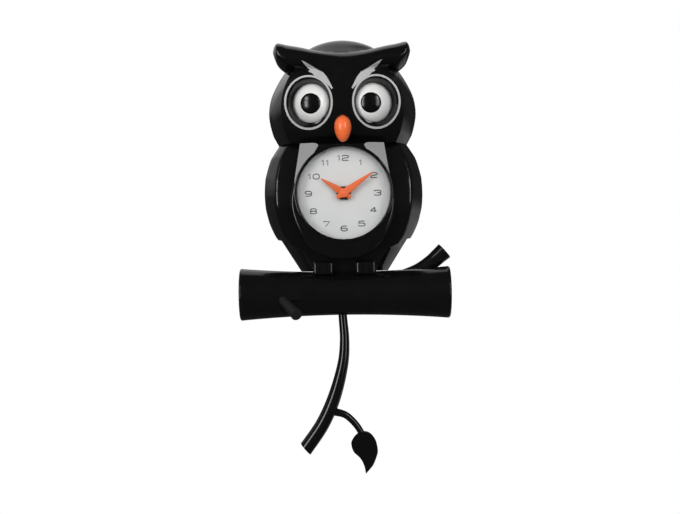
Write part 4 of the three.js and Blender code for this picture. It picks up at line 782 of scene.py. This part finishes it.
# strokes of each digit in a box from -1 to 1; a stroke that starts with True is closed
DIGITS = {
    "0": [[True, (-1, -1), (1, -1), (1, 1), (-1, 1)]],
    "1": [[(-0.5, 0.6), (0, 1), (0, -1)]],
    "2": [[(-1, 0.5), (-1, 1), (1, 1), (1, 0.05), (-1, -0.1), (-1, -1), (-0.9, -1), (1, -1)]],
    "3": [[(-1, 0.55), (-1, 1), (1, 1), (1, 0), (-0.3, 0)], [(-0.3, 0), (1, 0), (1, -1), (-1, -1), (-1, -0.55)]],
    "4": [[(0.45, -1), (0.45, 1)], [(0.4, 1), (-0.95, -0.42)], [(-1, -0.45), (0.95, -0.45)]],
    "5": [[(0.9, 1), (-0.85, 1), (-0.95, 0.15), (-0.9, 0.15), (1, 0.25), (1, -1), (-1, -1), (-1, -0.55)]],
    "6": [[(0.85, 1), (-1, 1), (-1, -1), (1, -1), (1, 0.15), (-0.95, 0.15)]],
    "7": [[(-1, 1), (1, 1), (-0.25, -1)]],
    "8": [[True, (-0.9, 0.02), (0.9, 0.02), (0.9, 1), (-0.9, 1)], [True, (-1, 0.02), (1, 0.02), (1, -1), (-1, -1)]],
    "9": [[(-0.85, -1), (1, -1), (1, 1), (-1, 1), (-1, -0.15), (0.95, -0.15)]],
}
SHARP_DIGITS = "147"
DIGIT_HALF_WIDTH, DIGIT_HALF_HEIGHT, STROKE = 2.5, 1.95, 0.37
ONE_WIDTH, DIGIT_GAP = 2.2, 1.3
NUMERAL_Y, NUMERAL_FLATNESS = -55.33, 0.12
NUMERAL_RADIUS, INNER_RADIUS, INNER_HOURS = 27.8, 26.8, (3, 4, 10)


def rounded_stroke(points, closed):
    """Cuts the corners of a stroke three times, which rounds them."""
    for _ in range(3):
        ends = list(zip(points, points[1:] + points[:1] if closed else points[1:]))
        cut = []
        for (x0, z0), (x1, z1) in ends:
            cut += [(x0 + (x1 - x0) * 0.25, z0 + (z1 - z0) * 0.25), (x0 + (x1 - x0) * 0.75, z0 + (z1 - z0) * 0.75)]
        points = cut if closed else [points[0]] + cut[1:-1] + [points[-1]]
    return points


def make_numeral(hour, x, z):
    """One hour's digits: strokes drawn as curves, flattened onto the dial."""
    curve = bpy.data.curves.new(f"numeral_{hour}", "CURVE")
    curve.dimensions, curve.bevel_resolution, curve.use_fill_caps = "3D", 2, True
    curve.bevel_depth = STROKE / MM_IN_M
    digits = str(hour)
    widths = [ONE_WIDTH if d == "1" else 2 * DIGIT_HALF_WIDTH for d in digits]
    left = x - (sum(widths) + DIGIT_GAP * (len(digits) - 1)) / 2
    for digit, width in zip(digits, widths):
        for stroke in DIGITS[digit]:
            closed = stroke[0] is True
            points = list(stroke[1:] if closed else stroke)
            if digit not in SHARP_DIGITS:
                points = rounded_stroke(points, closed)
            line = curve.splines.new("POLY")
            line.points.add(len(points) - 1)
            line.use_cyclic_u = closed
            for place, (px, pz) in zip(line.points, points):
                place.co = (*spot(left + width / 2 + px * DIGIT_HALF_WIDTH, NUMERAL_Y, z + pz * DIGIT_HALF_HEIGHT), 1)
        left += width + DIGIT_GAP
    numeral = bpy.data.objects.new(curve.name, curve)
    bpy.context.collection.objects.link(numeral)
    pick(numeral)
    bpy.ops.object.convert(target="MESH")
    numeral = bpy.context.active_object
    edit(numeral)
    bpy.ops.transform.resize(value=(1, NUMERAL_FLATNESS, 1), center_override=spot(0, NUMERAL_Y, 0))
    bpy.ops.mesh.remove_doubles(threshold=CUT_EXACT)
    leave_edit()
    fit_out(numeral, "case", "dial_white", DIAL_INK, angle=30)


def make_numerals():
    for hour in range(1, 13):
        turn, radius = math.radians(30 * hour), INNER_RADIUS if hour in INNER_HOURS else NUMERAL_RADIUS
        make_numeral(hour, radius * math.sin(turn), radius * math.cos(turn))


make_bezel()
make_lens()
make_hand("hour_hand_orange", "hour", 21, 303.2, -58.8, -60.2, "hour_hand")
make_hand("minute_hand_orange", "minute", 27.6, 55.2, -60.6, -62.0, "minute_hand")
make_hub()
make_numerals()


# ------------ log, twig, peg and feet

LOG_Y, LOG_Z, LOG_HALF = -44, -79.2, 83.4
LOG_WAIST, LOG_FLARE = 17.1, 3.6        # radius in the middle, and what the ends add to it
LOG_EDGE, LOG_SIDES = 1.8, 72
PARTING = 0.01                          # half the gap between the halves
LOG_SCREW_X = 66


def log_radius(x):
    return LOG_WAIST + LOG_FLARE * (x / LOG_HALF) ** 2


def make_log():
    """The log with dished ends and a perch for the owl, in a front and a rear half."""
    edge = [(-LOG_HALF + LOG_EDGE * (1 - math.cos(t)), log_radius(LOG_HALF) - LOG_EDGE * (1 - math.sin(t)))
            for t in (math.radians(15 * k) for k in range(6))]
    rows = [(0.9 - LOG_HALF, 13.5), (0.7 - LOG_HALF, 15.4), (-LOG_HALF, 16.2)] + edge
    rows += [(x, log_radius(x)) for x in range(-80, 0, 8)]
    rows += [(0, log_radius(0))] + [(-x, r) for x, r in reversed(rows)]
    rings = [[spot(x, LOG_Y + r * math.cos(turn), LOG_Z + r * math.sin(turn)) for turn in turns(LOG_SIDES)]
             for x, r in rows]
    log = skin("log_front_half", rings)
    perch = round_edges(block("perch", (-36, -49, -75), (36, -37, -61.8)), 1)
    combine(log, perch, "UNION")
    rear = twin(log, "log_rear_half")
    slice_off(log, spot(0, LOG_Y - PARTING, 0), (0, 1, 0))
    slice_off(rear, spot(0, LOG_Y + PARTING, 0), (0, -1, 0))
    for x in (-LOG_SCREW_X, LOG_SCREW_X):
        combine(rear, disc("log_screw_hole", (x, LOG_Z), [(-34, 3.3), (-15, 3.3)], 32), "DIFFERENCE")
    fit_out(log, "case", "gloss_black", LOG_BLACK, "log_front")
    fit_out(rear, "case", "gloss_black", LOG_BLACK, "log_rear")


def cut_end(rows):
    """Adds a rounded edge and a shallow dish to the end of a path."""
    *before, _ = rows[-2]
    *end, radius = rows[-1]
    along = Vector([b - a for a, b in zip(before, end)]).normalized()
    out = list(rows)
    for on, share in ((0.25, 0.97), (0.4, 0.9), (0.4, 0.74), (0.05, 0.68)):
        out.append((*(Vector(end) + along * on), radius * share))
    return out


def make_twig():
    rows = through([(34, -38, -72, 6), (41, -37.6, -69.2, 6), (49, -37.2, -66.4, 6), (60, -37, -61.8, 6),
                    (69.6, -37, -55.4, 6.2), (75.5, -37, -50.4, 6.6), (80, -37, -46.5, 7)], 5)
    fit_out(tube("twig_stub", cut_end(rows), 48), "case", "gloss_black", BRANCH_BLACK, "twig")


def make_peg():
    rows = through([(-50.6, -57, -81.4, 3.6), (-44.2, -68, -87.8, 3.8), (-38, -79, -93.8, 4.5),
                    (-37.8, -79.3, -94, 4.2)], 4)
    fit_out(tube("log_peg", rows, 40), "case", "gloss_black", PEG_GREY, "peg", angle=25)


def make_foot(name, x):
    """A rounded block with two lines that part its toes."""
    foot = block(name + "_toes", (x - 8, -57, -64.4), (x + 8, -48.8, -53.4))
    round_edges(foot, 2.4, 5)
    for line in (-2.7, 2.7):
        groove = block("toe_line", (x + line - 0.25, -60, -66), (x + line + 0.25, -56.2, -53.5))
        combine(foot, groove, "DIFFERENCE")
    fit_out(foot, "case", "gloss_black", SHELL_BLACK, name)


make_log()
make_twig()
make_peg()
make_foot("left_foot", -17)
make_foot("right_foot", 16.6)


# ------------ pendulum

SWING_Y = -14
# X, height and radius
BRANCH_ROWS = [
    (-1.9, -86, 3.4), (-2.1, -98, 3.5), (-0.9, -118, 3.9), (-2.6, -138.2, 4.5), (-9.9, -164.8, 5.4),
    (-20, -187.1, 5.8), (-34.0, -207.1, 5.95), (-40, -214.8, 5.95),
]
STEM_ROWS = [(-13, -176.5, 3.4), (-2.5, -179.1, 2.9), (3.7, -183.7, 2.8), (9, -190, 2.7), (13.5, -198, 2.6)]
# left edge, right edge and height
LEAF_ROWS = [
    (14.2, 14.2, -193.4), (10.2, 17.6, -194.2), (7.2, 20.4, -196.4), (4.6, 22.8, -199.8), (3.3, 24.3, -203.6),
    (5.2, 25.1, -210), (10.5, 23.6, -215.3), (13.6, 20.9, -221.3), (15, 15, -228.2),
]
LEAF_X, LEAF_Z = 14.6, -208
# Y and share of the outline, across the leaf's rounded edge
LEAF_EDGE = [(-11, 0.95), (-11.5, 0.985), (-12.4, 1), (-15.6, 1), (-16.5, 0.985), (-17, 0.95)]


def hanging(name, rows, steps, sides):
    """A round bar in the plane of the pendulum."""
    return tube(name, [(x, SWING_Y, z, radius) for x, z, radius in through(rows, steps)], sides)


def make_branch():
    """The bent branch, its lower end sawn off, and the leaf's stem."""
    branch = hanging("branch", BRANCH_ROWS, 8, 56)
    slice_off(branch, spot(-34.4, SWING_Y, -207), (-0.761, 0, -0.649))
    round_edges(branch, 0.35, 2)
    combine(branch, hanging("leaf_stem", STEM_ROWS, 6, 32), "UNION")
    fit_out(branch, "pendulum", "gloss_black", BRANCH_BLACK, "pendulum_branch")


def make_leaf():
    rows = through(LEAF_ROWS, 4)
    outline = [(right, z) for _, right, z in rows] + [(left, z) for left, _, z in reversed(rows[1:-1])]
    rings = [[spot(LEAF_X + (x - LEAF_X) * share, y, LEAF_Z + (z - LEAF_Z) * share) for x, z in outline]
             for y, share in LEAF_EDGE]
    fit_out(skin("leaf", rings), "pendulum", "gloss_black", LEAF_BLACK, "pendulum_leaf", angle=28)


make_branch()
make_leaf()


# ------------ CAD nodes that stay

KEPT = {
    DIAL_WHITE: ["dial_plate"],
    DARK_NUT: ["mounting_nut"],
    REAR_BLACK: ["movement_front", "movement_case", "set_knob", "eye_plate_upper", "eye_plate_lower", "drive_case",
                 "pendulum_hanger"],
    LINK_GREY: ["eye_link"],
    STEEL: ["case_screw_1", "case_screw_2", "case_screw_3", "case_screw_4", "log_screw_left", "log_screw_right",
            "perch_screw_left", "perch_screw_right", "battery", "battery_contact_negative",
            "battery_contact_positive", "minute_wheel_stud", "pivot_pin", "pivot_clip", "hanger_magnet",
            "pendulum_rod"],
    BRASS: ["cannon_pinion", "hour_wheel", "minute_wheel", "set_arbor"],
    BOARD_GREEN: ["circuit_board"],
    COPPER: ["motor_coil", "drive_coil"],
    RUBBER: ["dial_washer"],
}
for material, names in KEPT.items():
    for name in names:
        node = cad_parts[name]
        if not node.material_slots:
            node.data.materials.append(material)
        for place in node.material_slots:
            place.material = material


# ------------ studio and camera

FLOOR_Z, FLOOR_HALF, FLOOR_NEAR = -0.66, 3, -0.12
BACKDROP_Y, BACKDROP_HALF, BACKDROP_TOP = 1.25, 0.86, 4.7
# reflections of the backdrop: it brightens from a low to a high line that tilts, and dims towards the right
MIRRORED_TILT, MIRRORED_LOW, MIRRORED_HIGH, DIM_FROM, DIM_TO = -0.14, 0.14, 0.55, 0.27, 0.62
MIRRORED_DARK, MIRRORED_LIGHT = (0.03, 0.03, 0.03, 1), (0.8, 0.8, 0.8, 1)


def studio_sheet(name, half, near, far, material):
    """A sheet between two lines along X, each at its Y and Z."""
    sheet = start(name, bpy.ops.mesh.primitive_plane_add, size=2)
    corners = [(x, *line) for line in (near, far) for x in (-half, half)]
    for vertex, corner in zip(sheet.data.vertices, corners):
        vertex.co = corner
    sheet.data.materials.append(material)
    return sheet


def floor_material():
    return surface("pale studio floor", (226, 226, 226), (236, 236, 236), 0.6, 0.75, cloud=4, grain=300, bump=0.05)


def backdrop_material():
    """White to the camera and through the lens; in reflections it is dim below and at the right."""
    material = bpy.data.materials.new("white backdrop")
    tree = tree_of(material)
    tree.nodes.remove(tree.nodes["Principled BSDF"])
    path, seen, lit, where, parts, fade = shader_nodes(
        tree, "LightPath", "Math", "Math", "TexCoord", "SeparateXYZ", "ValToRGB")
    height, side, bright, tilt = shader_nodes(tree, "MapRange", "MapRange", "Math", "Math")
    tint, glow, matt, both = shader_nodes(tree, "Mix", "Emission", "BsdfDiffuse", "MixShader")
    seen.operation = lit.operation = "MAXIMUM"
    tilt.operation, bright.operation, tint.data_type = "MULTIPLY_ADD", "MULTIPLY", "RGBA"
    tilt.inputs[1].default_value = MIRRORED_TILT
    put(side, From_Min=DIM_TO, From_Max=DIM_FROM)
    put(height, From_Min=MIRRORED_LOW, From_Max=MIRRORED_HIGH)
    fade.color_ramp.elements[0].color, fade.color_ramp.elements[1].color = MIRRORED_DARK, MIRRORED_LIGHT
    put(tint, B=(1, 1, 1, 1))
    put(glow, Strength=1)
    put(matt, Color=(0.8, 0.8, 0.8, 1))
    wire(tree, (where, "Object", parts, "Vector"), (parts, "X", tilt, 0), (parts, "Z", tilt, 2),
         (tilt, "Value", height, "Value"), (parts, "X", side, "Value"), (height, "Result", bright, 0),
         (side, "Result", bright, 1), (bright, "Value", fade, "Fac"), (path, "Is Camera Ray", seen, 0),
         (path, "Is Transmission Ray", seen, 1), (seen, "Value", tint, "Factor"), (fade, "Color", tint, "A"),
         (tint, "Result", glow, "Color"), (seen, "Value", lit, 0), (path, "Is Glossy Ray", lit, 1),
         (lit, "Value", both, "Fac"), (matt, "BSDF", both, 1), (glow, "Emission", both, 2),
         (both, "Shader", tree.nodes["Material Output"], "Surface"))
    return material


LIT_SPOT = spot(0, -45, 20)
# name, azimuth, elevation, distance, width, height and watts
FRONT_SOFTBOXES = [
    ("left softbox", -43, 0, 1.3, 0.36, 0.7, 6), ("high left softbox", -43, 25, 1.3, 0.3, 0.32, 2.4),
    ("high right softbox", 41, 25, 1.3, 0.3, 0.32, 2.4), ("right softbox", 40, 2, 1.3, 0.36, 0.7, 3),
]
FILLS = [("front fill", -2, 18, 1.6, 1.6, 1.2, 12.5), ("back fill", 180, 30, 1.1, 1.2, 0.9, 12)]
# panels behind, stacked so that they fade towards the level: high at the left and low at the right
REAR_PANELS = [(-121, 1, 1.1, 0.25), (132, -1, 1.5, 0.3)]       # azimuth, up or down, width and strength
PANEL_DISTANCE, PANEL_TOP, PANEL_LOWS = 1.2, 46, (2, 5, 8, 11)  # metres, then degrees from the level


def softbox(name, azimuth, elevation, distance, width, height, watts):
    """A soft light that faces the dial, at an azimuth to the right of the camera's side."""
    a, e = math.radians(azimuth), math.radians(elevation)
    out = Vector((math.sin(a) * math.cos(e), -math.cos(a) * math.cos(e), math.sin(e)))
    data = bpy.data.lights.new(name, "AREA")
    data.shape, data.size, data.size_y, data.energy = "RECTANGLE", width, height, watts
    lamp = bpy.data.objects.new(name, data)
    lamp.visible_camera = False
    bpy.context.collection.objects.link(lamp)
    lamp.location = LIT_SPOT + out * distance
    lamp.rotation_euler = out.to_track_quat("Z", "Y").to_euler()
    return lamp


def studio_air():
    """Dim light from all round, and white where the camera looks past the backdrop."""
    world = bpy.data.worlds.new("studio air")
    tree = tree_of(world)
    air = tree.nodes["Background"]
    white, path, both = shader_nodes(tree, "Background", "LightPath", "MixShader")
    put(air, Color=(0.9, 0.92, 0.95, 1), Strength=0.06)
    put(white, Color=(1, 1, 1, 1), Strength=1)
    wire(tree, (path, "Is Camera Ray", both, "Fac"), (air, "Background", both, 1), (white, "Background", both, 2),
         (both, "Shader", tree.nodes["World Output"], "Surface"))
    return world


def make_studio():
    floor = studio_sheet("floor", FLOOR_HALF, (FLOOR_NEAR, FLOOR_Z), (BACKDROP_Y, FLOOR_Z), floor_material())
    studio_sheet("backdrop", BACKDROP_HALF, (BACKDROP_Y, FLOOR_Z), (BACKDROP_Y, BACKDROP_TOP), backdrop_material())
    floor.visible_glossy = False
    for lamp in FRONT_SOFTBOXES:
        softbox(*lamp)
    for azimuth, way, width, strength in REAR_PANELS:
        for low in PANEL_LOWS:
            height = 2 * PANEL_DISTANCE * math.tan(math.radians((PANEL_TOP - low) / 2))
            middle = way * (PANEL_TOP + low) / 2
            softbox("rear panel", azimuth, middle, PANEL_DISTANCE, width, height, strength * width * height)
    for lamp in FILLS:
        softbox(*lamp).visible_glossy = False
    bpy.context.scene.world = studio_air()


CAMERA_PLACE, CAMERA_LENS, CAMERA_ROLL = (-0.00365, -1.040, -0.1482), 66.2, math.radians(0.85)


def make_camera():
    """A camera that looks straight at the clock, turned a little about its own line of sight."""
    data = bpy.data.cameras.new("camera")
    data.lens, data.sensor_width = CAMERA_LENS, 36
    camera = bpy.data.objects.new("camera", data)
    bpy.context.collection.objects.link(camera)
    right = Vector((math.cos(CAMERA_ROLL), 0, -math.sin(CAMERA_ROLL)))
    up = Vector((math.sin(CAMERA_ROLL), 0, math.cos(CAMERA_ROLL)))
    back = Vector((0, -1, 0))
    turn = Matrix((right, up, back)).transposed().to_4x4()
    camera.matrix_world = Matrix.Translation(CAMERA_PLACE) @ turn
    bpy.context.scene.camera = camera


make_studio()
make_camera()
bpy.context.scene.view_settings.view_transform = "Standard"
